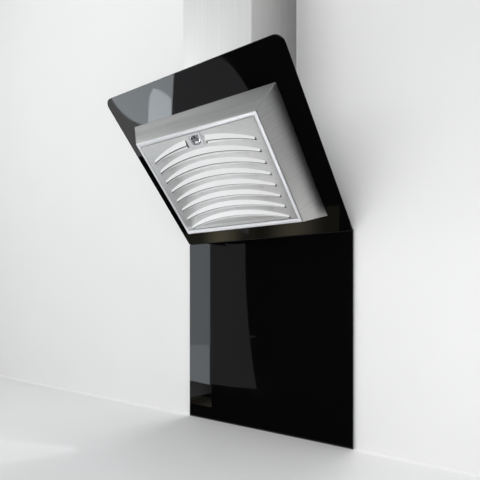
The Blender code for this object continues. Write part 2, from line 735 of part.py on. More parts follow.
# Catch: housing clipped into the plate, a sprung slide with a finger scoop, and a leaf keeper on the rim

latch_front = BOX_DEPTH + LATCH_PROUD
bezel_seat = BOX_DEPTH + GAP
cavity = (neck_half - LATCH_WALL, neck_low + LATCH_WALL, neck_high - LATCH_WALL)
cavity_floor = latch_back + LATCH_FLOOR
slide_back = cavity_floor + GAP
wing_front = slide_back + SLIDE_WING_THICK
lip_back = wing_front + GAP
window_half = latch_half - LATCH_LIP - LATCH_BEZEL
window_low = cavity[1] + LATCH_WALL
window = rounded(-window_half, window_half, window_low, cavity[2] - LATCH_WALL,
                 [LATCH_ROUND] * 2 + [LATCH_EASE] * 2, LATCH_STEPS)
cavity_loop = rounded(-cavity[0], cavity[0], cavity[1], cavity[2], [LATCH_EASE] * 4, LATCH_STEPS)
bezel_loop = rectangle(-latch_half, latch_half, latch_low, latch_high)
neck_loop = rectangle(-neck_half, neck_half, neck_low, neck_high)
latch_housing = solid(
    "latch_housing", GREY_PLASTIC, filter_axis,
    [(bezel_loop, latch_front), (bezel_loop, bezel_seat), (neck_loop, bezel_seat), (neck_loop, latch_back)],
    front=[[(window, latch_front), (window, lip_back), (cavity_loop, lip_back), (cavity_loop, cavity_floor)]],
    location=on_filter)
tongue_half = TONGUE_WIDTH / 2
tongue_front = slide_back + TONGUE_THICK
combine(latch_housing, "DIFFERENCE", cutters("tongue_slot", head, [
    (rectangle(-tongue_half - GAP, tongue_half + GAP, cavity[2] - LATCH_WALL / 2, latch_high),
     tongue_front + GAP, slide_back - GAP)]))

slide_high = cavity[2] - GAP
slide_low = cavity[1] + SLIDE_TRAVEL + GAP
wing_low = slide_high - SLIDE_WING_HEIGHT
wing_half = cavity[0] - GAP
pad_half = window_half - GAP
slide_loop = [
    (-pad_half, slide_low), (pad_half, slide_low), (pad_half, wing_low), (wing_half, wing_low),
    (wing_half, slide_high), (-wing_half, slide_high), (-wing_half, wing_low), (-pad_half, wing_low)]
pad_low = window_low + SLIDE_TRAVEL + GAP
pad_high = cavity[2] - LATCH_WALL - GAP
pad_loop = rounded(-pad_half + GAP, pad_half - GAP, pad_low, pad_high,
                   [LATCH_ROUND - GAP] * 2 + [LATCH_EASE] * 2, LATCH_STEPS)
pad_front = wing_front + SLIDE_PAD_THICK
latch_slide = solid("latch_slide", GREY_PLASTIC, filter_axis, prism(slide_loop, wing_front, slide_back),
                    front=[[(pad_loop, wing_front), (pad_loop, pad_front)]], location=on_filter)
tongue_top = BOX_FRONT_HIGH - RIM_TOP - TONGUE_SHORT
tongue = solid("tongue", GREY_PLASTIC, filter_axis,
               prism(rectangle(-tongue_half, tongue_half, slide_high - LATCH_WALL, tongue_top),
                     tongue_front, slide_back), location=on_filter)
combine(latch_slide, "UNION", tool(tongue))
scoop_mesh = bmesh.new()
bmesh.ops.create_uvsphere(scoop_mesh, u_segments=16, v_segments=8, radius=1.0)
bmesh.ops.scale(scoop_mesh, verts=scoop_mesh.verts, vec=(SCOOP_WIDTH / 2, SCOOP_HEIGHT / 2, SCOOP_DEPTH))
scoop = tool(publish("scoop", scoop_mesh, GREY_PLASTIC, head))
scoop.location = (0, (pad_low + pad_high) / 2, pad_front)
combine(latch_slide, "DIFFERENCE", scoop)

keeper_back = tongue_front + GAP
keeper_front = BOX_DEPTH - SHEET - GAP
keeper_low = tongue_top - KEEPER_HOLD
keeper_foot = BOX_FRONT_HIGH - RIM_TOP + FILTER_CLEAR
keeper_profile = [
    (keeper_foot + KEEPER_FOOT, keeper_front), (keeper_foot, keeper_front),
    (keeper_low, keeper_back + KEEPER_SHEET), (keeper_low, keeper_back),
    (keeper_foot, keeper_front - KEEPER_SHEET), (keeper_foot + KEEPER_FOOT, keeper_front - KEEPER_SHEET)]
solid("latch_keeper", SPRING_STEEL, head, prism(keeper_profile, -KEEPER_WIDTH / 2, KEEPER_WIDTH / 2),
      place=along_x)

spring_points = SPRING_TURNS * SPRING_STEPS
spring_low = cavity[1] + GAP + SPRING_WIRE
spring_high = wing_low - GAP - SPRING_WIRE
for side, word in ((-1, "left"), (1, "right")):
    coil = bpy.data.curves.new(f"latch_spring_{word}", "CURVE")
    coil.dimensions = "3D"
    coil.bevel_depth = SPRING_WIRE
    coil.bevel_resolution = 0
    coil.use_fill_caps = True
    path = coil.splines.new("POLY")
    path.points.add(spring_points)
    coil_middle = (pad_half + wing_half) / 2
    for step, point in enumerate(path.points):
        turn = 2 * math.pi * step / SPRING_STEPS
        across = side * coil_middle + SPRING_RADIUS * math.cos(turn)
        out = (slide_back + wing_front) / 2 + SPRING_RADIUS * math.sin(turn)
        up = spring_low + (spring_high - spring_low) * step / spring_points
        point.co = (across, up, out, 1.0)
    coil.materials.append(SPRING_STEEL)
    spring = bpy.data.objects.new(coil.name, coil)
    bpy.context.collection.objects.link(spring)
    spring.parent = filter_axis
    spring.location = on_filter


# Lamps and control strip in the underside of the box

lamp_ring = circle(LAMP_RING, steps=ROUND_STEPS)
lamp_barrel = circle(LAMP_BARREL, steps=ROUND_STEPS)
lamp_tail = circle(LAMP_TAIL, steps=ROUND_STEPS)
lamp_pocket = circle(LENS_RADIUS + GAP, steps=ROUND_STEPS)
lens_round = circle(LENS_RADIUS, steps=ROUND_STEPS)
ring_front = GAP + LAMP_RING_PROUD
lens_back = ring_front - LAMP_RECESS + GAP
for side, word in ((-1, "left"), (1, "right")):
    solid(f"lamp_{word}", BRUSHED_STEEL, sill,
          [(lamp_ring, ring_front), (lamp_ring, GAP), (lamp_barrel, GAP), (lamp_barrel, -LAMP_DEPTH),
           (lamp_tail, -LAMP_DEPTH - LAMP_TAIL_DEPTH)],
          front=[[(lamp_pocket, ring_front), (lamp_pocket, ring_front - LAMP_RECESS)]],
          smooth=True, location=(side * LAMP_SPAN, 0, 0))
    solid(f"lamp_lens_{word}", LAMP_GLASS, sill, prism(lens_round, lens_back + LENS_THICK, lens_back),
          smooth=True, location=(side * LAMP_SPAN, 0, 0))

strip_front = GAP + STRIP_PROUD
strip_face = strip_front - STRIP_WALL
neck_corner = 2 * STRIP_WALL
strip_corner = neck_corner + STRIP_LIP
neck_round = rounded(-strip_neck[0], strip_neck[0], -strip_neck[1], strip_neck[1], [neck_corner] * 4, 2)
strip_loop = rounded(-STRIP_LENGTH / 2, STRIP_LENGTH / 2, -STRIP_WIDTH / 2, STRIP_WIDTH / 2,
                     [strip_corner] * 4, 2)
button_places = [(number - (BUTTON_COUNT - 1) / 2) * BUTTON_PITCH for number in range(BUTTON_COUNT)]


def button_outline(growth, place=0.0):
    return rounded(place - BUTTON_LENGTH / 2 - growth, place + BUTTON_LENGTH / 2 + growth,
                   -BUTTON_WIDTH / 2 - growth, BUTTON_WIDTH / 2 + growth, [BUTTON_CORNER + growth] * 4, 3)


solid("control_strip", BLACK_PLASTIC, sill,
      [(strip_loop, strip_front), (strip_loop, GAP), (neck_round, GAP), (neck_round, -STRIP_DEPTH),
       (grown(neck_round, -STRIP_WALL), -STRIP_DEPTH), (grown(neck_round, -STRIP_WALL), strip_face)],
      [prism(button_outline(RUN, place), strip_front, strip_face) for place in button_places])
flange_top = strip_face - GAP
flange_bottom = flange_top - BUTTON_FLANGE_THICK
plunger_tip = flange_bottom - BUTTON_TRAVEL - GAP
button_chain = [
    (button_outline(-BUTTON_CORNER / 4), strip_front + BUTTON_PROUD),
    (button_outline(0), strip_front + BUTTON_PROUD - BUTTON_CORNER / 4), (button_outline(0), flange_top),
    (button_outline(BUTTON_FLANGE), flange_top), (button_outline(BUTTON_FLANGE), flange_bottom)]
for number, place in enumerate(button_places, 1):
    solid(f"button_{number}", GREY_PLASTIC, sill, button_chain, smooth=True, location=(place, 0, 0))
board_front = -STRIP_DEPTH - GAP
plungers = [circle(PLUNGER_RADIUS, place, 0, 10) for place in button_places]
solid("switch_board", BLACK_PLASTIC, sill, prism(neck_round, board_front, board_front - BOARD_THICK),
      front=[prism(plunger, board_front, plunger_tip) for plunger in plungers])


# Blower scroll: a spiral band that opens upwards, with flanges under the body's top

fan_axis = frame("fan_axis", hood, (0, -FAN_OFF_WALL, fan_z))
scroll_top = BODY_HIGH - SHEET - GAP - fan_z
scroll_turn = 1.5 * math.pi - SCROLL_START


def spiral(offset):
    """Band outline round the fan's axis, from the tongue by the back and the foot to the front."""
    points = []
    for step in range(SCROLL_STEPS + 1):
        share = step / SCROLL_STEPS
        radius = SCROLL_TONGUE + (SCROLL_MOUTH - SCROLL_TONGUE) * share + offset
        turn = SCROLL_START + scroll_turn * share
        points.append((radius * math.sin(turn), radius * math.cos(turn)))
    return points


tongue_in = spiral(0)[0][0]
mouth_in = spiral(0)[-1][0]
tongue_out = tongue_in + SCROLL_WALL
mouth_out = mouth_in - SCROLL_WALL
outside = [(y, z) for y, z in spiral(SCROLL_WALL) if z < 0 or y > tongue_out + SCROLL_WALL]
outside.append((mouth_out, 0))
band = [(tongue_in, scroll_top)] + spiral(0) + [
    (mouth_in, scroll_top), (mouth_out - SCROLL_FLANGE, scroll_top),
    (mouth_out - SCROLL_FLANGE, scroll_top - SCROLL_WALL), (mouth_out, scroll_top - SCROLL_WALL)]
band += outside[::-1] + [
    (tongue_out, scroll_top - SCROLL_WALL), (tongue_out + SCROLL_FLANGE, scroll_top - SCROLL_WALL),
    (tongue_out + SCROLL_FLANGE, scroll_top)]
solid("blower_scroll", ZINC_STEEL, fan_axis, prism(band, -SCROLL_HALF, SCROLL_HALF), place=along_x)

cheek_top = scroll_top - SCROLL_WALL - GAP
cheek = [(tongue_out, cheek_top)] + outside + [(mouth_out, cheek_top)]
cheek_in = SCROLL_HALF + GAP
cheek_out = cheek_in + SCROLL_WALL
inlet = circle(INLET_RADIUS, steps=ROUND_STEPS)
inlet_lip = circle(INLET_RADIUS + SCROLL_WALL, steps=ROUND_STEPS)
for side, word in ((-1, "left"), (1, "right")):
    solid(f"blower_side_{word}", ZINC_STEEL, fan_axis, prism(cheek, side * cheek_out, side * cheek_in),
          [[(inlet, side * cheek_out), (inlet, side * (cheek_in - INLET_LIP)),
            (inlet_lip, side * (cheek_in - INLET_LIP)), (inlet_lip, side * cheek_in)]], place=along_x)


# Fan wheel: forward curved blades between two rings and a middle disc, on the motor's shaft

disc = circle(WHEEL_DISC)
hub = circle(HUB_RADIUS)
hub_bore = circle(SHAFT_RADIUS + RUN)
impeller = solid("impeller", BLACK_PLASTIC, fan_axis,
                 [(hub, HUB_HALF), (hub, WHEEL_PLATE / 2), (disc, WHEEL_PLATE / 2),
                  (disc, -WHEEL_PLATE / 2), (hub, -WHEEL_PLATE / 2), (hub, -HUB_HALF)],
                 [prism(hub_bore, HUB_HALF, -HUB_HALF)], place=along_x, smooth=True)
wheel_parts = bmesh.new()
ring_out = circle(WHEEL_RADIUS + BLADE_SHEET)
ring_in = circle(WHEEL_RADIUS + BLADE_SHEET - WHEEL_RING)
for side in (-1, 1):
    ends = (side * WHEEL_HALF, side * (WHEEL_HALF - WHEEL_RING_WIDTH))
    add_solid(wheel_parts, prism(ring_out, *ends), [prism(ring_in, *ends)], place=along_x)
combine(impeller, "UNION", tool(publish("wheel_rings", wheel_parts, BLACK_PLASTIC, fan_axis)))


def blade(turn):
    """Outline of one blade: a thin strip that leans forwards as it runs out."""
    inner = []
    outer = []
    for step in range(BLADE_STEPS + 1):
        share = step / BLADE_STEPS
        radius = WHEEL_RADIUS - BLADE_CHORD * (1 - share)
        angle = turn + BLADE_SWEEP * share ** 2
        half_sheet = BLADE_SHEET / 2 / radius
        inner.append((radius * math.cos(angle - half_sheet), radius * math.sin(angle - half_sheet)))
        outer.append((radius * math.cos(angle + half_sheet), radius * math.sin(angle + half_sheet)))
    return inner + outer[::-1]


blade_half = WHEEL_HALF - WHEEL_RING_WIDTH / 2
blade_loops = [blade(2 * math.pi * number / BLADE_COUNT) for number in range(BLADE_COUNT)]
blades = cutters("wheel_blades", fan_axis, [(loop, blade_half, -blade_half) for loop in blade_loops], along_x)
combine(impeller, "UNION", blades)

motor_in = HUB_HALF + MOTOR_OFF_HUB
motor_out = cheek_out
shaft_end = motor_in + SHAFT_IN_MOTOR
shaft_round = circle(SHAFT_RADIUS, steps=ROUND_STEPS)
motor_small = circle(MOTOR_RADIUS - MOTOR_CHAMFER, steps=ROUND_STEPS)
motor_round = circle(MOTOR_RADIUS, steps=ROUND_STEPS)
motor_bore = circle(SHAFT_RADIUS + RUN, steps=ROUND_STEPS)
solid("motor_shaft", ZINC_STEEL, fan_axis, prism(shaft_round, -HUB_HALF - SHAFT_TAIL, shaft_end),
      place=along_x, smooth=True)
solid("motor", BLACK_PAINT, fan_axis,
      [(motor_small, motor_in), (motor_round, motor_in + MOTOR_CHAMFER),
       (motor_round, motor_out - MOTOR_CHAMFER), (motor_small, motor_out)],
      front=[prism(motor_bore, motor_in, shaft_end + GAP)], place=along_x, smooth=True)


def window_between_arms(turn):
    """Opening of the spider between two arms: a piece of a ring."""
    reach = 2 * math.pi / 3 - SPIDER_ARM
    angles = [turn + SPIDER_ARM / 2 + reach * step / 8 for step in range(9)]
    near = [(SPIDER_HUB * math.cos(a), SPIDER_HUB * math.sin(a)) for a in reversed(angles)]
    return [(INLET_RADIUS * math.cos(a), INLET_RADIUS * math.sin(a)) for a in angles] + near


spider_in = cheek_out + GAP
spider_out = spider_in + SCROLL_WALL
spider_windows = [window_between_arms(math.pi / 2 + 2 * math.pi * arm / 3) for arm in range(3)]
solid("motor_spider", ZINC_STEEL, fan_axis,
      prism(circle(INLET_RADIUS + SPIDER_RIM), spider_out, spider_in),
      [prism(loop, spider_out, spider_in) for loop in spider_windows], place=along_x)


# Outlet collar with two non-return flaps on one pin

flap_z = BODY_HIGH + FLAP_HEIGHT
collar_low = BODY_HIGH + GAP
collar_top = collar_low + COLLAR_HEIGHT
ledge_top = flap_z - FLAP_SHEET / 2 - GAP
ledge_low = ledge_top - LEDGE
collar_bore = circle(COLLAR_BORE, 0, outlet_y)
collar_round = circle(COLLAR_BORE + COLLAR_WALL, 0, outlet_y)
collar_flange = circle(COLLAR_BORE + COLLAR_FLANGE, 0, outlet_y)
ledge_round = circle(COLLAR_BORE - LEDGE, 0, outlet_y)
outlet_collar = solid(
    "outlet_collar", BLACK_PLASTIC, hood,
    [(collar_round, collar_top), (collar_round, collar_low + COLLAR_WALL),
     (collar_flange, collar_low + COLLAR_WALL), (collar_flange, collar_low)],
    [[(collar_bore, collar_top), (collar_bore, ledge_top), (ledge_round, ledge_top),
      (ledge_round, ledge_low), (collar_bore, ledge_low), (collar_bore, collar_low)]], smooth=True)
flap_axis = frame("flap_axis", hood, (0, outlet_y, flap_z))
pin_half = COLLAR_BORE + COLLAR_WALL
pin_hole = circle(FLAP_PIN + RUN, steps=12)
combine(outlet_collar, "DIFFERENCE", cutters(
    "flap_pin_holes", flap_axis, [(pin_hole, -pin_half - COLLAR_WALL, pin_half + COLLAR_WALL)], along_x))
solid("flap_pin", ZINC_STEEL, flap_axis, prism(circle(FLAP_PIN, steps=12), -pin_half, pin_half),
      place=along_x, smooth=True)

flap_radius = COLLAR_BORE - FLAP_CLEAR
knuckle_radius = FLAP_PIN + RUN + KNUCKLE_WALL
flap_edge = knuckle_radius + KNUCKLE_CLEAR
knuckle = circle(knuckle_radius, steps=12)


def flap(name, side, spans):
    """Half disc on one side of the pin, with knuckles over its own spans of the pin."""
    reach = math.asin(flap_edge / flap_radius)
    edge = []
    for start, end in spans:
        edge += [(start, flap_edge), (start, FLAP_PIN), (end, FLAP_PIN), (end, flap_edge)]
    arc = []
    for step in range(FLAP_STEPS + 1):
        turn = reach + (math.pi - 2 * reach) * step / FLAP_STEPS
        arc.append((flap_radius * math.cos(turn), flap_radius * math.sin(turn)))
    outline = [(x, side * y) for x, y in edge + arc]
    leaf = solid(name, WHITE_PLASTIC, flap_axis, prism(outline, FLAP_SHEET / 2, -FLAP_SHEET / 2))
    tubes = [(knuckle, start, end) for start, end in spans]
    bores = [(pin_hole, start - KNUCKLE_WALL, end + KNUCKLE_WALL) for start, end in spans]
    combine(leaf, "UNION", cutters(f"{name}_knuckles", flap_axis, tubes, along_x))
    combine(leaf, "DIFFERENCE", cutters(f"{name}_bores", flap_axis, bores, along_x))


flap("flap_front", -1, KNUCKLES[0::2])
flap("flap_rear", 1, KNUCKLES[1::2])


# Chimney: two folded covers, open at the wall, the upper one sliding in the lower one

def cover(half, front, back):
    """Outline of a folded cover: front, two sides and a return at the wall on each side."""
    tip = half - CHIMNEY_RETURN
    inner = half - SHEET
    return [(tip, back), (tip, back - SHEET), (inner, back - SHEET), (inner, front + SHEET),
            (-inner, front + SHEET), (-inner, back - SHEET), (-tip, back - SHEET), (-tip, back),
            (-half, back), (-half, front), (half, front), (half, back)]


screw_y = outlet_y
screw_z = BODY_HIGH + SCREW_ABOVE_BODY
screw_hole = circle(SCREW_RADIUS + RUN, screw_y, screw_z, 12)
screw_reach = chimney_half + SHEET
screw_cutter = cutters("screw_cutter", hood, [(screw_hole, -screw_reach, screw_reach)], along_x)
lower_loop = cover(chimney_half, -CHIMNEY_DEPTH, -CHIMNEY_OFF_WALL)
chimney_lower = solid("chimney_lower", BRUSHED_STEEL, hood,
                      prism(lower_loop, CHIMNEY_LOWER_TOP, chimney_foot))
combine(chimney_lower, "DIFFERENCE", screw_cutter)
inner_step = SHEET + CHIMNEY_SLIDE_CLEAR
upper_half = chimney_half - inner_step
upper_back = -CHIMNEY_OFF_WALL - inner_step
upper_loop = cover(upper_half, -CHIMNEY_DEPTH + inner_step, upper_back)
solid("chimney_upper", BRUSHED_STEEL, hood,
      prism(upper_loop, CHIMNEY_TOP, CHIMNEY_TOP - CHIMNEY_UPPER_LENGTH))


def clip(name, cover_half, cover_back, low):
    """Hat shaped spring clip on the wall that traps the returns of one cover."""
    off = cover_back - SHEET - GAP
    tip = cover_half - CHIMNEY_RETURN
    wing = tip + CLIP_OVERLAP
    foot = tip - CLIP_SLOPE
    pad = foot - CLIP_SLOPE
    right = [(pad, 0), (foot, off), (wing, off), (wing, off - CLIP_SHEET),
             (foot - CLIP_SHEET, off - CLIP_SHEET), (pad - CLIP_SHEET, -CLIP_SHEET)]
    left = [(-x, y) for x, y in reversed(right)]
    solid(name, ZINC_STEEL, hood, prism(right + left, low + CLIP_HEIGHT, low))


clip("chimney_clip_low", chimney_half, -CHIMNEY_OFF_WALL, BODY_HIGH + CLIP_ABOVE_BODY)
clip("chimney_clip_high", upper_half, upper_back, CHIMNEY_TOP - CLIP_BELOW_TOP - CLIP_HEIGHT)

foot_out = chimney_half - SHEET - GAP
foot_low = BODY_HIGH + GAP
screw_cap = circle(SCREW_HEAD, steps=12)
screw_round = circle(SCREW_RADIUS, steps=12)
screw_chain = [(screw_cap, GAP + SCREW_HEAD_THICK), (screw_cap, GAP), (screw_round, GAP),
               (screw_round, -SHEET - FOOT_SHEET - SCREW_TAIL)]
for side, word in ((-1, "left"), (1, "right")):
    foot_face = side * foot_out
    foot_inside = side * (foot_out - FOOT_SHEET)
    foot_tip = side * (foot_out - FOOT_BASE)
    foot_profile = [
        (foot_face, foot_low), (foot_tip, foot_low), (foot_tip, foot_low + FOOT_SHEET),
        (foot_inside, foot_low + FOOT_SHEET), (foot_inside, foot_low + FOOT_HEIGHT),
        (foot_face, foot_low + FOOT_HEIGHT)]
    foot = solid(f"chimney_foot_{word}", ZINC_STEEL, hood,
                 prism(foot_profile, screw_y - FOOT_LENGTH / 2, screw_y + FOOT_LENGTH / 2), place=along_y)
    combine(foot, "DIFFERENCE", screw_cutter)
    solid(f"chimney_screw_{word}", ZINC_STEEL, hood,
          [(loop, side * depth) for loop, depth in screw_chain], place=along_x, smooth=True,
          location=(side * chimney_half, screw_y, screw_z))


# Terminal box on the body's back, beside the blower

terminal_back = body_back - SHEET - GAP
terminal_low = BODY_LOW + SHEET + TERMINAL_ABOVE_FLOOR
terminal_loop = rectangle(TERMINAL_LEFT, TERMINAL_LEFT + TERMINAL_LENGTH,
                          terminal_low, terminal_low + TERMINAL_HEIGHT)
terminal_lid = grown(terminal_loop, TERMINAL_LID)
lid_back = terminal_back - TERMINAL_DEPTH + 2 * TERMINAL_LID
solid("terminal_box", BLACK_PLASTIC, hood,
      [(terminal_lid, terminal_back - TERMINAL_DEPTH), (terminal_lid, lid_back),
       (terminal_loop, lid_back), (terminal_loop, terminal_back)], place=along_y)


# Back panel, bonded to the wall, and the seal in the fold above it

panel_top = -FOLD_JOINT
panel_foot = panel_top - BACK_PANEL_HEIGHT
panel_back = -BACK_PANEL_OFF_WALL
panel_loop = rectangle(-HOOD_WIDTH / 2, HOOD_WIDTH / 2, panel_foot, panel_top)
solid("back_panel", BLACK_GLASS, hood,
      prism(panel_loop, panel_back, panel_back - GLASS_THICK), place=along_y)
pad_reach = HOOD_WIDTH / 2 - PAD_INSET
for word, low in (("top", panel_top - PAD_INSET - PAD_HEIGHT), ("foot", panel_foot + PAD_INSET)):
    strip = rectangle(-pad_reach, pad_reach, low, low + PAD_HEIGHT)
    solid(f"bonding_pad_{word}", RUBBER, hood, prism(strip, 0, panel_back + GAP), place=along_y)


def foot_point(across):
    """A point just under the leaning glass's lower edge, counted from its front corner."""
    return fold_y + across * COS + GAP * SIN, across * SIN - GAP * COS


seal_low = panel_top + GAP
seal_profile = [
    (foot_point(SEAL_LIP)[0], seal_low), (-SEAL_OFF_WALL, seal_low), (-SEAL_OFF_WALL, SEAL_TOP),
    foot_point(GLASS_THICK), foot_point(SEAL_LIP)]
seal_half = HOOD_WIDTH / 2 - SEAL_INSET
solid("fold_seal", RUBBER, hood, prism(seal_profile, -seal_half, seal_half), place=along_x)
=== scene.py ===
"""Angled wall cooker hood in black glass and brushed steel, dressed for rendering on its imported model.

The sections follow the hood as it is put together, from the wall outwards. Metres, +Z up, facing -Y.
"""
import json
import math

import bmesh
import bpy
from mathutils import Matrix, Vector


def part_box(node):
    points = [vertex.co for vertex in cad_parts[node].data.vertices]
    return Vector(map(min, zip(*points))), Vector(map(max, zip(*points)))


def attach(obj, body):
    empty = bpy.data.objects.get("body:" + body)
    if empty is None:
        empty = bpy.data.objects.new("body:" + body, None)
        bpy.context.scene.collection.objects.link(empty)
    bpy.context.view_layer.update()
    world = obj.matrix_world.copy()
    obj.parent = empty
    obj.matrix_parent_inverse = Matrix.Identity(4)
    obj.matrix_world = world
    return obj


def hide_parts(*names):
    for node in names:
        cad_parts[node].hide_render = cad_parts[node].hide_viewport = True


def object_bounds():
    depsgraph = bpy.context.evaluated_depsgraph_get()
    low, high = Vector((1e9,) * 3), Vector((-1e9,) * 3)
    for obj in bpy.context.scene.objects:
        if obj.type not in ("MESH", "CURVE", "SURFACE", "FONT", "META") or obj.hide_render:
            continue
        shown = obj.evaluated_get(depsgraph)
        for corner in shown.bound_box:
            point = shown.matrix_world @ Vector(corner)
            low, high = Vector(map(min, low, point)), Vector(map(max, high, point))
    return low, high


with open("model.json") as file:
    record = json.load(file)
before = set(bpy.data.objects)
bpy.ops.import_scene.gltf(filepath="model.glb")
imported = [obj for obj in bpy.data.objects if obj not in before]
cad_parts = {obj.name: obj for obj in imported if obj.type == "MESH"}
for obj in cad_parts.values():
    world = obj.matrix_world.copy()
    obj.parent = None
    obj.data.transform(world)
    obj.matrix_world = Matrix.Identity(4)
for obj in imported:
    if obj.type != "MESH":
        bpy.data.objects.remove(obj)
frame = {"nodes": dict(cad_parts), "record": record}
nodes = frame["nodes"]
cad_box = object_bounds()
scene = bpy.context.scene
scene.view_settings.view_transform = "Standard"


# Camera: a view from the right of the hood, from a little below its lower edge.
# The lens is shifted up so that the uprights stay upright.

camera = bpy.data.objects.new("camera", bpy.data.cameras.new("camera"))
scene.collection.objects.link(camera)
scene.camera = camera
camera.location = (1.008, -1.4285, -0.531)
camera.rotation_euler = (math.pi / 2, 0.0, math.radians(37.87))
camera.data.sensor_width = 36.0
camera.data.lens = 36.67
camera.data.shift_y = 0.1144


# Studio: a plain pale floor at the foot of the back panel and a pale wall behind the hood.
# Both let the view through from behind, so the hood can also be seen from the back and from below.
# Black flags, seen only in reflections, keep the glass black, and glowing cards give it its pale patches.

STUDIO_REACH = 6.0
WALL_HEIGHT = 3.2
STAGE_GAP = 0.0005
floor_z = cad_box[0].z - STAGE_GAP


def fill_inputs(tree, node, inputs):
    """Gives each named socket of a node its value, or the output that feeds it."""
    for socket, value in dict(inputs).items():
        if isinstance(value, bpy.types.NodeSocket):
            tree.links.new(value, node.inputs[socket])
        else:
            node.inputs[socket].default_value = value


def add_node(tree, kind, inputs=(), **settings):
    """A new node; its settings come first, as some of them change its sockets."""
    node = tree.nodes.new(kind)
    for name, value in settings.items():
        setattr(node, name, value)
    fill_inputs(tree, node, inputs)
    return node


def new_material(name, roughness, metallic=0.0):
    """A Principled material with its node tree and its shader."""
    material = bpy.data.materials.new(name)
    material.use_nodes = True
    tree = material.node_tree
    shader = tree.nodes["Principled BSDF"]
    fill_inputs(tree, shader, {"Roughness": roughness, "Metallic": metallic})
    return material, tree, shader


def object_place(tree):
    return add_node(tree, "ShaderNodeTexCoord").outputs["Object"]


def noise(tree, place, scale, detail, **more):
    """The output of a noise texture; more sets its other sockets by name."""
    inputs = {"Vector": place, "Scale": scale, "Detail": detail, **more}
    return add_node(tree, "ShaderNodeTexNoise", inputs).outputs["Fac"]


def compute(tree, operation, *values):
    """The output of a Math node."""
    return add_node(tree, "ShaderNodeMath", enumerate(values), operation=operation).outputs[0]


def spread(tree, value, low, high, start=0.3, end=0.7, **settings):
    """A value between start and end, spread over low to high."""
    inputs = {"Value": value, "From Min": start, "From Max": end, "To Min": low, "To Max": high}
    return add_node(tree, "ShaderNodeMapRange", inputs, **settings).outputs[0]


def mix_colours(tree, share, first, second):
    """The output of a colour mix; the colours are plain values or outputs."""
    ends = [part if isinstance(part, bpy.types.NodeSocket) else (*part, 1.0) for part in (first, second)]
    return add_node(tree, "ShaderNodeMix", {0: share, 6: ends[0], 7: ends[1]}, data_type="RGBA").outputs[2]


def scaled(colour, factor):
    return [factor * part for part in colour]


def pale_paint(name, colour, roughness):
    """Matt paint that shows only on its front and throws no shadow of its own."""
    material, tree, shader = new_material(name, roughness)
    clouds = noise(tree, object_place(tree), 3.0, 3.0)
    fill_inputs(tree, shader, {"Base Color": mix_colours(tree, clouds, colour, scaled(colour, 0.97))})
    shadow_ray = add_node(tree, "ShaderNodeLightPath").outputs["Is Shadow Ray"]
    behind = add_node(tree, "ShaderNodeNewGeometry").outputs["Backfacing"]
    through = compute(tree, "MAXIMUM", shadow_ray, behind)
    clear = add_node(tree, "ShaderNodeBsdfTransparent").outputs[0]
    sheer = add_node(tree, "ShaderNodeMixShader", {0: through, 1: shader.outputs[0], 2: clear}).outputs[0]
    fill_inputs(tree, tree.nodes["Material Output"], {"Surface": sheer})
    return material


def rectangle(x0, x1, y0, y1):
    return [(x0, y0), (x1, y0), (x1, y1), (x0, y1)]


def on_floor(lift, places):
    """Corners of a card that lies a little above the floor."""
    return [(x, y, floor_z + lift) for x, y in places]


def standing(start, end, low, high, fall=0.0):
    """Corners of an upright card over a line on the floor. Its foot falls from start to end."""
    return [(*start, low), (*end, low - fall), (*end, high), (*start, high)]


def bowed(start, end, bulge, steps=8):
    """Points of a curve from start to end whose middle stands off the straight line by bulge."""
    shares = [step / steps for step in range(steps + 1)]
    return [Vector(start).lerp(end, share) + 4 * share * (1 - share) * Vector(bulge) for share in shares]


def stage_sheet(name, corners, material):
    mesh = bpy.data.meshes.new(name)
    mesh.from_pydata(corners, [], [range(len(corners))])
    mesh.materials.append(material)
    sheet = bpy.data.objects.new(name, mesh)
    scene.collection.objects.link(sheet)
    return sheet


floor_corners = on_floor(0.0, rectangle(-STUDIO_REACH, STUDIO_REACH, -STUDIO_REACH, STUDIO_REACH))
wall_ends = (-STUDIO_REACH, STAGE_GAP), (STUDIO_REACH, STAGE_GAP)
wall_corners = standing(*wall_ends, floor_z, floor_z + WALL_HEIGHT)
stage_sheet("floor", floor_corners, pale_paint("floor_paint", (0.80, 0.80, 0.80), 0.6))
stage_sheet("wall", wall_corners, pale_paint("wall_paint", (0.84, 0.84, 0.835), 0.7))


def dull_black(name):
    """A material that throws no light back, with its node tree and its shader."""
    material, tree, shader = new_material(name, 1.0)
    fill_inputs(tree, shader, {"Base Color": (0.0, 0.0, 0.0, 1.0), "Specular IOR Level": 0.0})
    return material, tree, shader


def reflections_only(item):
    for ray in ("camera", "diffuse", "transmission", "volume_scatter", "shadow"):
        setattr(item, f"visible_{ray}", False)


# The glass plane has its origin at the glass's foot: across, up the glass, and out of it.
GLASS_LEAN = math.radians(42.4)
GLASS_FOOT = (0.0, -0.0118, -0.330)
glass_plane = Matrix.Translation(GLASS_FOOT) @ Matrix.Rotation(math.pi / 2 + GLASS_LEAN, 4, "X")

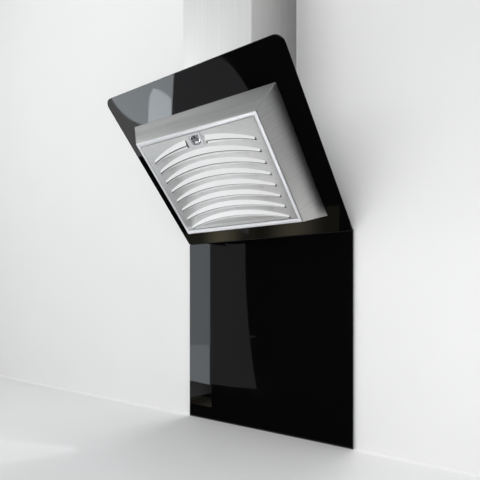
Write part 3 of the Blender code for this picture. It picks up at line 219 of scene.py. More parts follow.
SILL_FLAG = [(-0.20, -0.13), (-0.33, -0.13), (-0.50, -0.45), (-0.20, -0.45)]
SILL_FLAG_HEIGHT = -0.285
SIDE_FLAG = rectangle(0.02, 0.60, -0.02, 0.035)
SIDE_FLAG_ACROSS = 0.356
FLAGS = {
    "floor_flag": on_floor(0.002, rectangle(1.8, -2.3, -0.02, -3.2)),
    "front_flag": standing((-5.0, -3.2), (2.6, -3.2), floor_z, 0.40),
    "near_flag": standing((-1.12, -0.515), (-0.20, -0.515), floor_z, -0.82),
    "far_flag": standing((-1.25, -0.90), (-0.45, -0.90), floor_z, -0.88),
    "low_flag": standing((-0.33, -0.12), (0.60, -0.12), floor_z, -0.90),
    "sill_flag": [(x, y, SILL_FLAG_HEIGHT) for x, y in SILL_FLAG],
    "edge_flag": standing((-0.40, -0.08), (-0.40, -0.30), -0.31, -0.08),
    "side_flag": [glass_plane @ Vector((SIDE_FLAG_ACROSS, *place)) for place in SIDE_FLAG],
    "chimney_flag": standing((0.135, -0.004), (0.26, -0.004), 0.20, 1.30)}
flag_cloth, _, _ = dull_black("flag_cloth")
for name, corners in FLAGS.items():
    reflections_only(stage_sheet(name, corners, flag_cloth))


def glow_card(name, corners, level, colour, pool=None):
    """A card that is seen only in reflections; level is the brightness of its face.

    pool gives the middle of a glow that fades, how far it reaches and the level beyond.
    """
    material, tree, shader = dull_black(name)
    strength = level
    if pool:
        middle, reach, beyond = pool
        ends = {0: object_place(tree), 1: (*middle, floor_z)}
        away = add_node(tree, "ShaderNodeVectorMath", ends, operation="DISTANCE").outputs["Value"]
        strength = spread(tree, away, level, beyond, 0.0, reach, interpolation_type="SMOOTHSTEP")
    fill_inputs(tree, shader, {"Emission Color": (*colour, 1.0), "Emission Strength": strength})
    reflections_only(stage_sheet(name, corners, material))


COOL = (0.88, 0.95, 1.0)
FAINT_BLUE = (0.95, 0.95, 1.0)
WARM = (1.0, 0.90, 0.62)
PLAIN = (1.0, 1.0, 1.0)
PANE = [(-1.91, -1.33), (-1.25, -1.33), (-1.237, -0.98),
        *bowed((-1.42, -0.98), (-1.91, -1.33), (-0.029, 0.041))]
BRIGHT_PANE = [(-1.237, -0.98), (-1.459, -0.98),
               *bowed((-1.465, -1.147), (-1.431, -1.244), (-0.012, -0.004)),
               *bowed((-1.42, -1.24), (-1.252, -1.124), (0.006, -0.008))]
DIM_PATCH = [(-1.23, -0.98), (-1.24, -1.33), *bowed((-0.846, -1.281), (-0.606, -0.975), (0.013, -0.010))]
LOW_PATCH = rectangle(-1.95, -1.24, -1.30, -0.80)
UNDER_PLATE = [(-0.34, -0.53), (-1.13, -0.53), (-1.40, -0.93), (-0.50, -0.93)]

# Cards that overlap lie at different heights over the floor, so that the higher one hides the lower.
glow_card("pane", on_floor(0.004, PANE), 4.7, COOL)
glow_card("bright_pane", on_floor(0.006, BRIGHT_PANE), 8.8, COOL)
glow_card("dim_patch", on_floor(0.004, DIM_PATCH), 0.42, FAINT_BLUE)
glow_card("low_patch", on_floor(0.003, LOW_PATCH), 1.25, PLAIN)
glow_card("under_plate", on_floor(0.005, UNDER_PLATE), 13.0, PLAIN, ((-0.36, -0.68), 0.55, 0.05))
POOL_BACK = -0.16
POOL_FRONT = -0.30
POOL_MIDDLE = -0.20
for name, left, right, middle, level, reach, beyond in (
        ("left_pool", -1.05, -0.53, -0.764, 1.00, 0.18, 0.18),
        ("right_pool", -0.53, -0.04, -0.291, 0.78, 0.20, 0.12)):
    corners = on_floor(0.004, rectangle(left, right, POOL_BACK, POOL_FRONT))
    glow_card(name, corners, level, WARM, ((middle, POOL_MIDDLE), reach, beyond))
glow_card("beside_chimney", standing((0.26, -0.004), (0.45, -0.004), 0.20, 1.30), 0.30, PLAIN)

# A column of two tones stands to the left of the panel, with its foot and base a little further off.
COLUMN = ((-0.570, -0.233), (-0.570, -0.383))
COLUMN_FOOT = ((-0.572, -0.233), (-0.572, -0.383))
COLUMN_BASE = ((-0.574, -0.20), (-0.574, -0.385), (-0.384, -0.514))
COLUMN_EDGE = bowed((-0.428, -0.481, -0.255), (-0.384, -0.512, -0.987), (-0.014, 0.010, 0.0))
BASE_TOP = -0.93
glow_card("bright_column", standing(*COLUMN, -0.763, -0.278, 0.012), 2.2, COOL)
glow_card("bright_column_foot", standing(*COLUMN_FOOT, -0.925, -0.70, 0.044), 2.9, COOL)
for name, ends in (("bright_column_base", COLUMN_BASE[:2]), ("dim_column_base", COLUMN_BASE[1:])):
    glow_card(name, standing(*ends, floor_z, BASE_TOP), 0.5, PLAIN, ((-0.574, -0.25), 0.26, 0.0))
glow_card("dim_column", [(*COLUMN[1], -0.969), (*COLUMN[1], -0.269), *COLUMN_EDGE], 0.31, PLAIN)

world = bpy.data.worlds.new("studio")
scene.world = world
world.use_nodes = True
fill_inputs(world.node_tree, world.node_tree.nodes["Background"],
            {"Color": (0.97, 0.985, 1.0, 1.0), "Strength": 0.36})

HOOD_MIDDLE = Vector((0.0, -0.2, -0.1))


def softbox(name, place, size, level, colour=PLAIN):
    """An area light that the camera doesn't see; level is the brightness of its face."""
    lamp = bpy.data.lights.new(name, "AREA")
    lamp.shape = "RECTANGLE"
    lamp.size, lamp.size_y = size
    lamp.energy = level * math.pi * size[0] * size[1]
    lamp.color = colour
    item = bpy.data.objects.new(name, lamp)
    item.location = place
    item.rotation_euler = (HOOD_MIDDLE - Vector(place)).to_track_quat("-Z", "Y").to_euler()
    item.visible_camera = False
    scene.collection.objects.link(item)
    return item


softbox("window_light", (-2.3, -2.2, 0.95), (2.4, 1.5), 1.5, (0.97, 0.99, 1.0))
softbox("rear_light", (-0.3, 2.8, 1.2), (2.0, 2.0), 3.0)
for name, place, size, level in (("ceiling_light", (0.0, -1.9, 2.1), (2.4, 1.8), 0.9),
                                 ("wall_wash", (-0.5, -3.1, 1.4), (2.4, 2.0), 2.9),
                                 ("floor_bounce", (0.95, -1.0, -0.70), (1.0, 0.7), 2.0)):
    softbox(name, place, size, level).visible_glossy = False


# Wall bracket: a zinc plated plate screwed to the wall, with two hooks that the body hangs on.
# Punched and bent from sheet, so every edge is slightly broken and catches the light.

body_of = {node: body for body, group in frame["record"]["behaviour"]["bodies"].items() for node in group}
SHARP_ANGLE = math.radians(40.0)
FLAT_ANGLE = math.radians(0.5)
WELD = 1e-6


def new_group(name, inputs, outputs, kind="ShaderNodeTree"):
    """A node group, the outputs of its input node, and its output node."""
    tree = bpy.data.node_groups.new(name, kind)
    for direction, sockets in (("INPUT", inputs), ("OUTPUT", outputs)):
        for label, socket in sockets.items():
            tree.interface.new_socket(label, in_out=direction, socket_type=f"NodeSocket{socket}")
    return tree, tree.nodes.new("NodeGroupInput").outputs, tree.nodes.new("NodeGroupOutput")


worn_bends, given, result = new_group("worn_bends", {"Patchiness": "Float"}, {"Mask": "Float"})
bend = add_node(worn_bends, "ShaderNodeAttribute", attribute_name="bend").outputs["Fac"]
patches = noise(worn_bends, object_place(worn_bends), given["Patchiness"], 4.0)
strength = spread(worn_bends, patches, 0.35, 1.0, 0.35, 0.65)
fill_inputs(worn_bends, result, {"Mask": compute(worn_bends, "MULTIPLY", bend, strength)})


def use_group(tree, group, **inputs):
    """The outputs of a node group in a tree."""
    return add_node(tree, "ShaderNodeGroup", inputs, node_tree=group).outputs


def bump(tree, height, strength, distance=0.0003):
    """The output of a Bump node."""
    inputs = {"Height": height, "Strength": strength, "Distance": distance}
    return add_node(tree, "ShaderNodeBump", inputs).outputs[0]


def zinc_finish(name, dark, light, edge, roughness):
    """Zinc plating: large soft spangles with a fine grain, and bright patches on the bends."""
    material, tree, shader = new_material(name, roughness, 1.0)
    place = object_place(tree)
    spangle = add_node(tree, "ShaderNodeTexVoronoi", {"Vector": place, "Scale": 70.0, "Randomness": 1.0})
    flake = add_node(tree, "ShaderNodeSeparateColor", {"Color": spangle.outputs["Color"]}).outputs[0]
    fine = noise(tree, place, 420.0, 5.0)
    plated = mix_colours(tree, compute(tree, "MULTIPLY", flake, fine), dark, light)
    worn = use_group(tree, worn_bends, Patchiness=40.0)["Mask"]
    fill_inputs(tree, shader, {
        "Base Color": mix_colours(tree, worn, plated, edge),
        "Roughness": spread(tree, flake, roughness - 0.08, roughness + 0.10, 0.0, 1.0),
        "Normal": bump(tree, fine, 0.12, 0.0004)})
    return material


def finish_piece(name, mesh, material, node):
    """Puts a finished mesh on its body in place of the CAD node that it stands for."""
    mesh.materials.clear()
    mesh.materials.append(material)
    piece = bpy.data.objects.new(name, mesh)
    scene.collection.objects.link(piece)
    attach(piece, body_of[node])
    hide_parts(node)


def rounded_copy(node, edge, segments=2):
    """A CAD solid with its sharp edges broken. The face attribute bend marks the rounded faces."""
    bm = bmesh.new()
    bm.from_mesh(nodes[node].data)
    bmesh.ops.remove_doubles(bm, verts=bm.verts[:], dist=WELD)
    bmesh.ops.dissolve_limit(bm, angle_limit=FLAT_ANGLE, verts=bm.verts[:], edges=bm.edges[:])
    marks = bm.faces.layers.float.new("bend")
    sharp = [item for item in bm.edges if item.is_manifold and item.calc_face_angle(0.0) > SHARP_ANGLE]
    made = bmesh.ops.bevel(bm, geom=sharp, offset=edge, segments=segments, profile=0.5, affect="EDGES",
                           clamp_overlap=True)
    for face in made["faces"]:
        face[marks] = 1.0
        face.smooth = True
    mesh = bpy.data.meshes.new(node)
    bm.to_mesh(mesh)
    bm.free()
    return mesh


def edge_nodes(names, material, edge):
    """Replaces each CAD node by a copy with its edges broken."""
    for node in names:
        finish_piece(f"{node}_edged", rounded_copy(node, edge), material, node)


zinc = zinc_finish("zinc_plating", dark=(0.36, 0.37, 0.38), light=(0.56, 0.57, 0.58),
                   edge=(0.72, 0.72, 0.72), roughness=0.42)
edge_nodes(["wall_bracket"], zinc, edge=0.0003)


# Body: a folded box of zinc plated sheet that hangs on the bracket and carries everything else.
# Its flange at the front takes the glass.

edge_nodes(["body_shell"], zinc, edge=0.0003)


# Blower: a spiral housing of thin zinc plated sheet between two side plates, inside the body.
# The motor sits in one inlet on a three-armed spider.

edge_nodes(["blower_scroll", "blower_side_left", "blower_side_right", "motor_spider"], zinc, edge=0.0003)


def moulded(name, colour, roughness, grain_scale, relief, metallic=0.0):
    """A moulded or painted surface: a fine even texture, slightly polished on the edges."""
    material, tree, shader = new_material(name, roughness, metallic)
    place = object_place(tree)
    grain = noise(tree, place, grain_scale, 3.0)
    clouds = noise(tree, place, 22.0, 4.0)
    body = mix_colours(tree, clouds, scaled(colour, 0.86), scaled(colour, 1.12))
    rubbed = [min(1.0, 1.35 * part + 0.01) for part in colour]
    worn = use_group(tree, worn_bends, Patchiness=60.0)["Mask"]
    fill_inputs(tree, shader, {
        "Base Color": mix_colours(tree, worn, body, rubbed),
        "Roughness": spread(tree, clouds, roughness - 0.06, roughness + 0.08),
        "Normal": bump(tree, grain, relief)})
    return material


black_moulding = moulded("black_moulding", (0.020, 0.020, 0.022), 0.48, grain_scale=900.0, relief=0.25)
motor_paint = moulded("motor_paint", (0.030, 0.030, 0.032), 0.40, grain_scale=500.0, relief=0.15)
nodes["impeller"].data.materials[0] = black_moulding
edge_nodes(["motor"], motor_paint, edge=0.0006)
edge_nodes(["terminal_box"], black_moulding, edge=0.0005)
nodes["motor_shaft"].data.materials[0] = zinc


# Outlet: a moulded collar for the duct on the body's top, with two white flaps on one steel pin.
# The flaps fall shut on a ledge when the fan stops.

white_moulding = moulded("white_moulding", (0.72, 0.72, 0.69), 0.45, grain_scale=700.0, relief=0.15)
edge_nodes(["outlet_collar"], black_moulding, edge=0.0004)
edge_nodes(["flap_front", "flap_rear"], white_moulding, edge=0.0002)
nodes["flap_pin"].data.materials[0] = zinc


# Leaning glass: one toughened sheet, black behind, with ground and polished edges.
# It is bolted through a rubber gasket to the body's flange, and its upper corners are rounded.

GLASS = (-0.350, 0.350, 0.0, 0.604)
GLASS_THICK = 0.006
GLASS_CORNER = 0.028
GLASS_STEPS = 16
ARRIS = 0.0008
AIR_OPENING = (-0.165, 0.165, 0.1124, 0.4480)
AIR_CORNER = 0.015
BOLT_PLACES = [(side * 0.186, row) for side in (-1, 1) for row in (0.1304, 0.2802, 0.4300)]
BOLT_HOLE = 0.0045


def arc(x, y, radius, start, steps=6):
    """Quarter of a circle round a centre, against the clock from an angle in quarter turns."""
    turns = [(start + step / steps) * math.pi / 2 for step in range(steps + 1)]
    return [(x + radius * math.cos(turn), y + radius * math.sin(turn)) for turn in turns]


def rounded_outline(sides, inset, low, high=None, steps=6):
    """Rectangle drawn in from its sides, against the clock from its low left corner.

    low and high are the radii of the lower and upper corners.
    """
    x0, x1, y0, y1 = sides[0] + inset, sides[1] - inset, sides[2] + inset, sides[3] - inset
    high = low if high is None else high
    corners = (x0, y0, 1, 1, low), (x1, y0, -1, 1, low), (x1, y1, -1, -1, high), (x0, y1, 1, -1, high)
    loop = []
    for turn, (x, y, right, up, radius) in enumerate(corners, 2):
        loop += arc(x + right * radius, y + up * radius, radius, turn, steps) if radius else [(x, y)]
    return loop


def circle(radius, x=0.0, y=0.0, steps=48):
    turns = (2 * math.pi * step / steps for step in range(steps))
    return [(x + radius * math.cos(turn), y + radius * math.sin(turn)) for turn in turns]


def closed_body(outer, holes=(), place=glass_plane, bm=None, slits=()):
    """Closed mesh between two flat caps, from chains of (outline, depth) rings put in place by a matrix.

    slits pairs rings of points that are already joined to each other, one in each cap.
    """
    bm = bm or bmesh.new()

    def walls(chain):
        rings = [[bm.verts.new(place @ Vector((u, v, depth))) for u, v in loop] for loop, depth in chain]
        for one, two in zip(rings, rings[1:]):
            for index in range(len(one)):
                face = bm.faces.new((one[index - 1], one[index], two[index], two[index - 1]))
                face.smooth = True
        return rings[0], rings[-1]

    ends = [walls(chain) for chain in [outer] + list(holes)] + list(slits)
    for side in (0, 1):
        edges = []
        for ring in (pair[side] for pair in ends):
            pairs = ((ring[index - 1], ring[index]) for index in range(len(ring)))
            edges += [bm.edges.get(pair) or bm.edges.new(pair) for pair in pairs]
        bmesh.ops.triangle_fill(bm, edges=edges, use_beauty=True)
    bmesh.ops.recalc_face_normals(bm, faces=bm.faces[:])
    return bm


def to_mesh(name, bm, crease=35.0):
    bmesh.ops.dissolve_degenerate(bm, dist=1e-7, edges=bm.edges[:])
    mesh = bpy.data.meshes.new(name)
    bm.to_mesh(mesh)
    bm.free()
    mesh.set_sharp_from_angle(angle=math.radians(crease))
    return mesh


wiped_film, given, result = new_group("wiped_film", {"Scale": "Float"}, {"Smear": "Float", "Dust": "Float"})
place = object_place(wiped_film)
swirl = noise(wiped_film, place, given["Scale"], 6.0, Roughness=0.62, Distortion=1.6)
specks = noise(wiped_film, place, 900.0, 2.0)
fill_inputs(wiped_film, result, {"Smear": spread(wiped_film, swirl, 0.0, 1.0, 0.38, 0.68),
                                 "Dust": spread(wiped_film, specks, 0.0, 1.0, 0.70, 0.80)})


def black_glass_finish(name):
    """Polished glass with black enamel behind: a faint wiped film and a little dust on a clean surface."""
    material, tree, shader = new_material(name, 0.03)
    film = use_group(tree, wiped_film, Scale=5.0)
    fill_inputs(tree, shader, {
        "Base Color": mix_colours(tree, film["Dust"], (0.0022, 0.0022, 0.0025), (0.012, 0.012, 0.012)),
        "Roughness": spread(tree, film["Smear"], 0.018, 0.060, 0.0, 1.0),
        "IOR": 1.45})
    return material


def glass_edge(inset):
    return rounded_outline(GLASS, inset, 0.0, GLASS_CORNER - inset, GLASS_STEPS)


black_glass = black_glass_finish("black_glass")
glass_holes = [rounded_outline(AIR_OPENING, 0.0, AIR_CORNER, steps=GLASS_STEPS)]
glass_holes += [circle(BOLT_HOLE, across, up, 24) for across, up in BOLT_PLACES]
glass_bm = closed_body([(glass_edge(ARRIS), 0.0), (glass_edge(0.0), -ARRIS),
                        (glass_edge(0.0), ARRIS - GLASS_THICK), (glass_edge(ARRIS), -GLASS_THICK)],
                       [[(loop, 0.0), (loop, -GLASS_THICK)] for loop in glass_holes])
finish_piece("leaning_glass", to_mesh("leaning_glass", glass_bm), black_glass, "glass_panel")

rubber = moulded("black_rubber", (0.013, 0.013, 0.013), 0.72, grain_scale=350.0, relief=0.35)
edge_nodes(["glass_gasket"], rubber, edge=0.0004)
edge_nodes([f"through_bolt_{number}" for number in range(1, 7)], zinc, edge=0.0004)


# Suction box: stainless sheet folded to a shallow hopper with a flat rim, brushed across.
# The folds are rounded by the press brake, and the rim round the filter is given a lighter, less metallic
# tone, a painted sheen.

BOX_DEPTH = 0.072
BOX_SHEET = 0.0012
BOX_GAP = 0.0003
BOX_FRONT = (-0.2425, 0.2425, 0.0953, 0.4597)
BOX_BACK = (-0.286, 0.286, 0.0624, 0.4940)
BOX_FRONT_CORNER = 0.0022
BOX_BACK_CORNER = 0.0030
BOX_AIR_CORNER = 0.0010
RIM_OPENING = (-0.2297, 0.2297, 0.1108, 0.4473)
RIM_CORNER = 0.0012
RIM_BREAK = 0.0003
FOLD = 0.0016
FOLD_STEPS = 5
ON_RIM = 1e-5
LEAN_TURN = (math.pi / 2 + GLASS_LEAN, 0.0, 0.0)
PAINTED_SHADE = (0.02, 0.019, 0.017)

brushed_lines, given, result = new_group(
    "brushed_lines", {"Turn": "Vector", "Stretch": "Vector"}, {"Shade": "Float", "Height": "Float"})
turned = add_node(brushed_lines, "ShaderNodeVectorRotate",
                  {"Vector": object_place(brushed_lines), "Rotation": given["Turn"]},
                  rotation_type="EULER_XYZ", invert=True).outputs[0]
stretched = add_node(brushed_lines, "ShaderNodeVectorMath", {0: turned, 1: given["Stretch"]},
                     operation="MULTIPLY").outputs[0]
fine = noise(brushed_lines, stretched, 1.0, 5.0, Roughness=0.7)
broad = noise(brushed_lines, stretched, 0.09, 3.0)
shade = add_node(brushed_lines, "ShaderNodeMix", {0: 0.4, 2: fine, 3: broad}, data_type="FLOAT").outputs[0]
fill_inputs(brushed_lines, result, {"Shade": shade, "Height": fine})


def brushed_finish(name, dark, light, edge, roughness, turn, stretch, painted_sheen=None, metallic=1.0):
    """Brushed stainless: drawn lines in colour, roughness and relief, with bright patches on the bends.

    The last colour argument is a painted sheen: the faces that the attribute rim marks take it, with less
    metal; faces marked inside are painted near black as painted shade.
    """
    material, tree, shader = new_material(name, roughness, metallic)
    lines = use_group(tree, brushed_lines, Turn=turn, Stretch=stretch)
    smear = use_group(tree, wiped_film, Scale=7.0)["Smear"]
    worn = use_group(tree, worn_bends, Patchiness=30.0)["Mask"]
    tone = mix_colours(tree, spread(tree, lines["Shade"], 0.0, 1.0), dark, light)
    # Painted sheen on the faces marked rim, and painted shade, near black, on the faces marked inside.
    if painted_sheen:
        rim, inside = (add_node(tree, "ShaderNodeAttribute", attribute_name=mark).outputs["Fac"]
                       for mark in ("rim", "inside"))
        tone = mix_colours(tree, inside, mix_colours(tree, rim, tone, painted_sheen), PAINTED_SHADE)
        fill_inputs(tree, shader, {"Metallic": spread(tree, rim, metallic, 0.2, 0.0, 1.0)})
    rough = spread(tree, lines["Shade"], roughness - 0.05, roughness + 0.05)
    fill_inputs(tree, shader, {
        "Base Color": mix_colours(tree, worn, tone, edge),
        "Roughness": compute(tree, "MULTIPLY_ADD", smear, 0.05, rough),
        "Normal": bump(tree, lines["Height"], 0.05)})
    return material


def between(one, two, share):
    """The outline that lies a share of the way from one outline to another."""
    return [(a + (c - a) * share, b + (d - b) * share) for (a, b), (c, d) in zip(one, two)]


box_steel = brushed_finish("box_steel", dark=(0.60, 0.60, 0.59), light=(0.80, 0.80, 0.79),
                           edge=(0.86, 0.86, 0.85), roughness=0.34, turn=LEAN_TURN,
                           stretch=(4.0, 1400.0, 4.0), painted_sheen=(0.74, 0.745, 0.77))
front_corner = rounded_outline(BOX_FRONT, 0.0, BOX_FRONT_CORNER)
front_flat = rounded_outline(BOX_FRONT, FOLD, BOX_FRONT_CORNER - FOLD)
back_corner = rounded_outline(BOX_BACK, 0.0, BOX_BACK_CORNER)
side_start = between(front_corner, back_corner, FOLD / (BOX_DEPTH - BOX_GAP))
box_outside = []
for step in range(FOLD_STEPS + 1):
    turn = step / FOLD_STEPS
    loop = between(between(front_flat, front_corner, turn), between(front_corner, side_start, turn), turn)
    box_outside.append((loop, BOX_DEPTH - FOLD * turn ** 2))
box_outside.append((back_corner, BOX_GAP))
rim_break = rounded_outline(RIM_OPENING, -RIM_BREAK, RIM_CORNER + RIM_BREAK)
rim_edge = rounded_outline(RIM_OPENING, 0.0, RIM_CORNER)
front_inside = rounded_outline(BOX_FRONT, BOX_SHEET, BOX_FRONT_CORNER - BOX_SHEET)
back_inside = rounded_outline(BOX_BACK, BOX_SHEET, BOX_BACK_CORNER - BOX_SHEET)
air_edge = rounded_outline(AIR_OPENING, 0.0, BOX_AIR_CORNER)
under_rim = BOX_DEPTH - BOX_SHEET
over_flange = BOX_GAP + BOX_SHEET
box_inside = [(rim_break, BOX_DEPTH), (rim_edge, BOX_DEPTH - RIM_BREAK), (rim_edge, under_rim),
              (front_inside, under_rim), (back_inside, over_flange), (air_edge, over_flange),
              (air_edge, BOX_GAP)]
box_mesh = to_mesh("suction_box_folded", closed_body(box_outside, [box_inside]), 50.0)
bend_marks = box_mesh.attributes.new("bend", "FLOAT", "FACE")
# The rim's faces are marked for a lighter, less metallic tone: a painted sheen.
painted_sheen_marks = box_mesh.attributes.new("rim", "FLOAT", "FACE")
into_glass_plane = glass_plane.inverted()
for face in box_mesh.polygons:
    lowest = min((into_glass_plane @ box_mesh.vertices[index].co).z for index in face.vertices)
    on_rim = lowest > BOX_DEPTH - ON_RIM
    painted_sheen_marks.data[face.index].value = float(on_rim)
    bend_marks.data[face.index].value = float(lowest > BOX_DEPTH - 1.5 * FOLD and not on_rim)
finish_piece("suction_box_folded", box_mesh, box_steel, "suction_box")


# Lamps: two turned steel rings in the underside, each with a frosted pressed glass lens, lit.
# The ring's lip is rounded over and the lens carries fine concentric ribs.

underside = Matrix.Translation((0.0, -0.09166, -0.29615)) @ Matrix.Rotation(math.radians(197.752), 4, "X")
LAMP_SPAN = 0.165
LAMP_FRONT = 0.0018
LAMP_BORE = 0.0238
LAMP_BORE_DEPTH = 0.0045
LAMP_SEAT = 0.0003
LAMP_CAN = 0.0262
LAMP_CAN_END = -0.0200
LAMP_BACK = (0.0180, -0.0240)
RING_LIP_DEPTH = 0.0012
RING_LIP_START = 0.0241
RING_LIP_WIDTH = 0.0014
RING_LIP_HEIGHT = 0.0008
SHOULDER_START = 0.0300
SHOULDER = 0.0010
LENS_RADIUS = 0.0235
LENS_FRONT = 0.0004
LENS_BACK = -0.0024
LENS_MIDDLE = 0.0010
LENS_EDGE_DROP = 0.0004
RIB_COUNT = 9
RIB_SPAN = LENS_RADIUS - 0.0025
RIB_WIDTH = 0.0011
RIB_CREST = 0.0002
RIB_VALLEY = 0.0001
QUARTER_TURN = (0.0, 0.5, 1.0, math.pi / 2)


def lens_finish(name):
    """Frosted lens, lit warm from behind."""
    material, tree, shader = new_material(name, 0.3)
    frost = noise(tree, object_place(tree), 600.0, 3.0)
    glow = mix_colours(tree, frost, (1.0, 0.74, 0.42), (1.0, 0.84, 0.58))
    fill_inputs(tree, shader, {"Base Color": glow, "Emission Color": glow, "Emission Strength": 5.0,
                               "Normal": bump(tree, frost, 0.2)})
    return material


lamp_steel = brushed_finish("lamp_steel", dark=(0.55, 0.55, 0.54), light=(0.70, 0.70, 0.69),
                            edge=(0.82, 0.82, 0.81), roughness=0.28, turn=LEAN_TURN,
                            stretch=(60.0, 60.0, 1200.0))
lit_lens = lens_finish("lit_lens")
lamp_profile = [(LAMP_BORE, LAMP_FRONT - LAMP_BORE_DEPTH), (LAMP_BORE, LAMP_FRONT - RING_LIP_DEPTH)]
for turn in QUARTER_TURN:
    drop = RING_LIP_HEIGHT * (1 - math.sin(turn))
    lamp_profile.append((RING_LIP_START + RING_LIP_WIDTH * (1 - math.cos(turn)), LAMP_FRONT - drop))
for turn in QUARTER_TURN:
    drop = SHOULDER * (1 - math.cos(turn))
    lamp_profile.append((SHOULDER_START + SHOULDER * math.sin(turn), LAMP_FRONT - drop))
lamp_profile += [(SHOULDER_START + SHOULDER, LAMP_SEAT), (LAMP_CAN, LAMP_SEAT), (LAMP_CAN, LAMP_CAN_END),
                 LAMP_BACK]
lens_profile = [(LENS_MIDDLE, LENS_FRONT)]
for rib in range(RIB_COUNT):
    radius = LENS_MIDDLE + RIB_SPAN * (rib + 0.5) / RIB_COUNT
    lens_profile += [(radius, LENS_FRONT + RIB_CREST), (radius + RIB_WIDTH, LENS_FRONT - RIB_VALLEY)]
lens_profile += [(LENS_RADIUS, LENS_FRONT - LENS_EDGE_DROP), (LENS_RADIUS, LENS_BACK)]
for side, word in ((-1, "left"), (1, "right")):
    seat = underside @ Matrix.Translation((side * LAMP_SPAN, 0.0, 0.0))
    for name, profile, material, node in (
            (f"lamp_ring_{word}", lamp_profile, lamp_steel, f"lamp_{word}"),
            (f"lamp_glass_{word}", lens_profile, lit_lens, f"lamp_lens_{word}")):
        turned_bm = closed_body([(circle(radius), height) for radius, height in profile], place=seat)
        finish_piece(name, to_mesh(name, turned_bm), material, node)


# Control strip: a black moulding clipped into the underside between the lamps, with five grey keys.
# Each key is rounded over and carries one raised pip.

KEY = (-0.010, 0.010, -0.006, 0.006)
KEY_CORNER = 0.003
KEY_PITCH = 0.031
KEY_TOP = 0.0051
KEY_ROUND = 0.0009
KEY_MARGIN = 0.0022
KEY_DISH = 0.0002
KEY_FLANGE = 0.0012
KEY_SEAT = 0.0003
KEY_BACK = -0.0012
PIP = ((0.0004, 0.0004), (0.0009, 0.0002), (0.0012, -KEY_DISH))


def key_outline(growth):
    return rounded_outline(KEY, -growth, KEY_CORNER + growth)


def pip_outline(radius):
    return rounded_outline((-radius, radius, -radius, radius), 0.0, radius)


grey_moulding = moulded("grey_moulding", (0.36, 0.37, 0.39), 0.36, grain_scale=800.0, relief=0.12)
edge_nodes(["control_strip", "switch_board"], black_moulding, edge=0.0004)
key_rings = [(pip_outline(radius), KEY_TOP + rise) for radius, rise in PIP]
key_rings.append((key_outline(-KEY_MARGIN), KEY_TOP - KEY_DISH))
for turn in (0.0, 0.4, 0.8, 1.2, math.pi / 2):
    loop = key_outline(-KEY_ROUND * (1 - math.sin(turn)))
    key_rings.append((loop, KEY_TOP - KEY_ROUND * (1 - math.cos(turn))))
key_rings += [(key_outline(0.0), KEY_SEAT), (key_outline(KEY_FLANGE), KEY_SEAT),
              (key_outline(KEY_FLANGE), KEY_BACK)]
for number in range(1, 6):
    seat = underside @ Matrix.Translation(((number - 3) * KEY_PITCH, 0.0, 0.0))
    key = to_mesh(f"key_{number}", closed_body(key_rings, place=seat))
    finish_piece(f"key_{number}", key, grey_moulding, f"button_{number}")


# Filter frame and mesh: a zinc plated channel that holds layers of expanded aluminium.
# The strands zigzag from row to row and are never quite even.

MESH_HALF = 0.2217
MESH_LOW = 0.1162
MESH_HIGH = 0.4382
MESH_FRONT = 0.0619
MESH_BACKING = (0.0032, 0.0036)
ROW_PITCH = 0.0030
CELL_WIDTH = 0.0090
STRAND = 0.0008
WAVER = 0.0012
LAYERS = ((0.0008, 0.0), (0.0026, ROW_PITCH / 2))

expanded, given, result = new_group(
    "expanded_metal",
    {"Length": "Float", "Points": "Int", "Rows": "Int", "Pitch": "Float", "Strand": "Float", "Seed": "Float",
     "Material": "Material"},
    {"Geometry": "Geometry"}, "GeometryNodeTree")


def metal_node(kind, inputs=(), **settings):
    """The first output of a node in the tree of the expanded metal."""
    return add_node(expanded, kind, inputs, **settings).outputs[0]


def vector(x=0.0, y=0.0, z=0.0):
    return metal_node("ShaderNodeCombineXYZ", {0: x, 1: y, 2: z})


def parity_sign():
    """-1 on even and +1 on odd indices."""
    odd = compute(expanded, "MODULO", metal_node("GeometryNodeInputIndex"), 2.0)
    return compute(expanded, "MULTIPLY_ADD", odd, 2.0, -1.0)


line = metal_node("GeometryNodeCurvePrimitiveLine", {"End": vector(given["Length"])})
points = metal_node("GeometryNodeResampleCurve", {"Curve": line, "Count": given["Points"]})
half_pitch = compute(expanded, "MULTIPLY", given["Pitch"], 0.5)
swing = compute(expanded, "MULTIPLY", parity_sign(), half_pitch)
zigzag = metal_node("GeometryNodeSetPosition", {"Geometry": points, "Offset": vector(0.0, swing)})
section = metal_node("GeometryNodeCurvePrimitiveCircle", {"Resolution": 3, "Radius": given["Strand"]})
strand = metal_node("GeometryNodeCurveToMesh",
                    {"Curve": zigzag, "Profile Curve": section, "Fill Caps": True})
rows = metal_node("GeometryNodeMeshLine", {"Count": given["Rows"], "Offset": vector(0.0, given["Pitch"])})
mirrored = vector(1.0, parity_sign(), 1.0)
laid = metal_node("GeometryNodeInstanceOnPoints", {"Points": rows, "Instance": strand, "Scale": mirrored})
whole = metal_node("GeometryNodeRealizeInstances", {"Geometry": laid})
spot = metal_node("GeometryNodeInputPosition")
shifted = metal_node("ShaderNodeVectorMath", {0: spot, 1: given["Seed"]}, operation="ADD")
waver = noise(expanded, shifted, 90.0, 1.0)
lift = compute(expanded, "MULTIPLY_ADD", waver, WAVER, -WAVER / 2)
uneven = metal_node("GeometryNodeSetPosition", {"Geometry": whole, "Offset": vector(0.0, 0.0, lift)})
dressed = metal_node("GeometryNodeSetMaterial", {"Geometry": uneven, "Material": given["Material"]})
fill_inputs(expanded, result, {"Geometry": dressed})


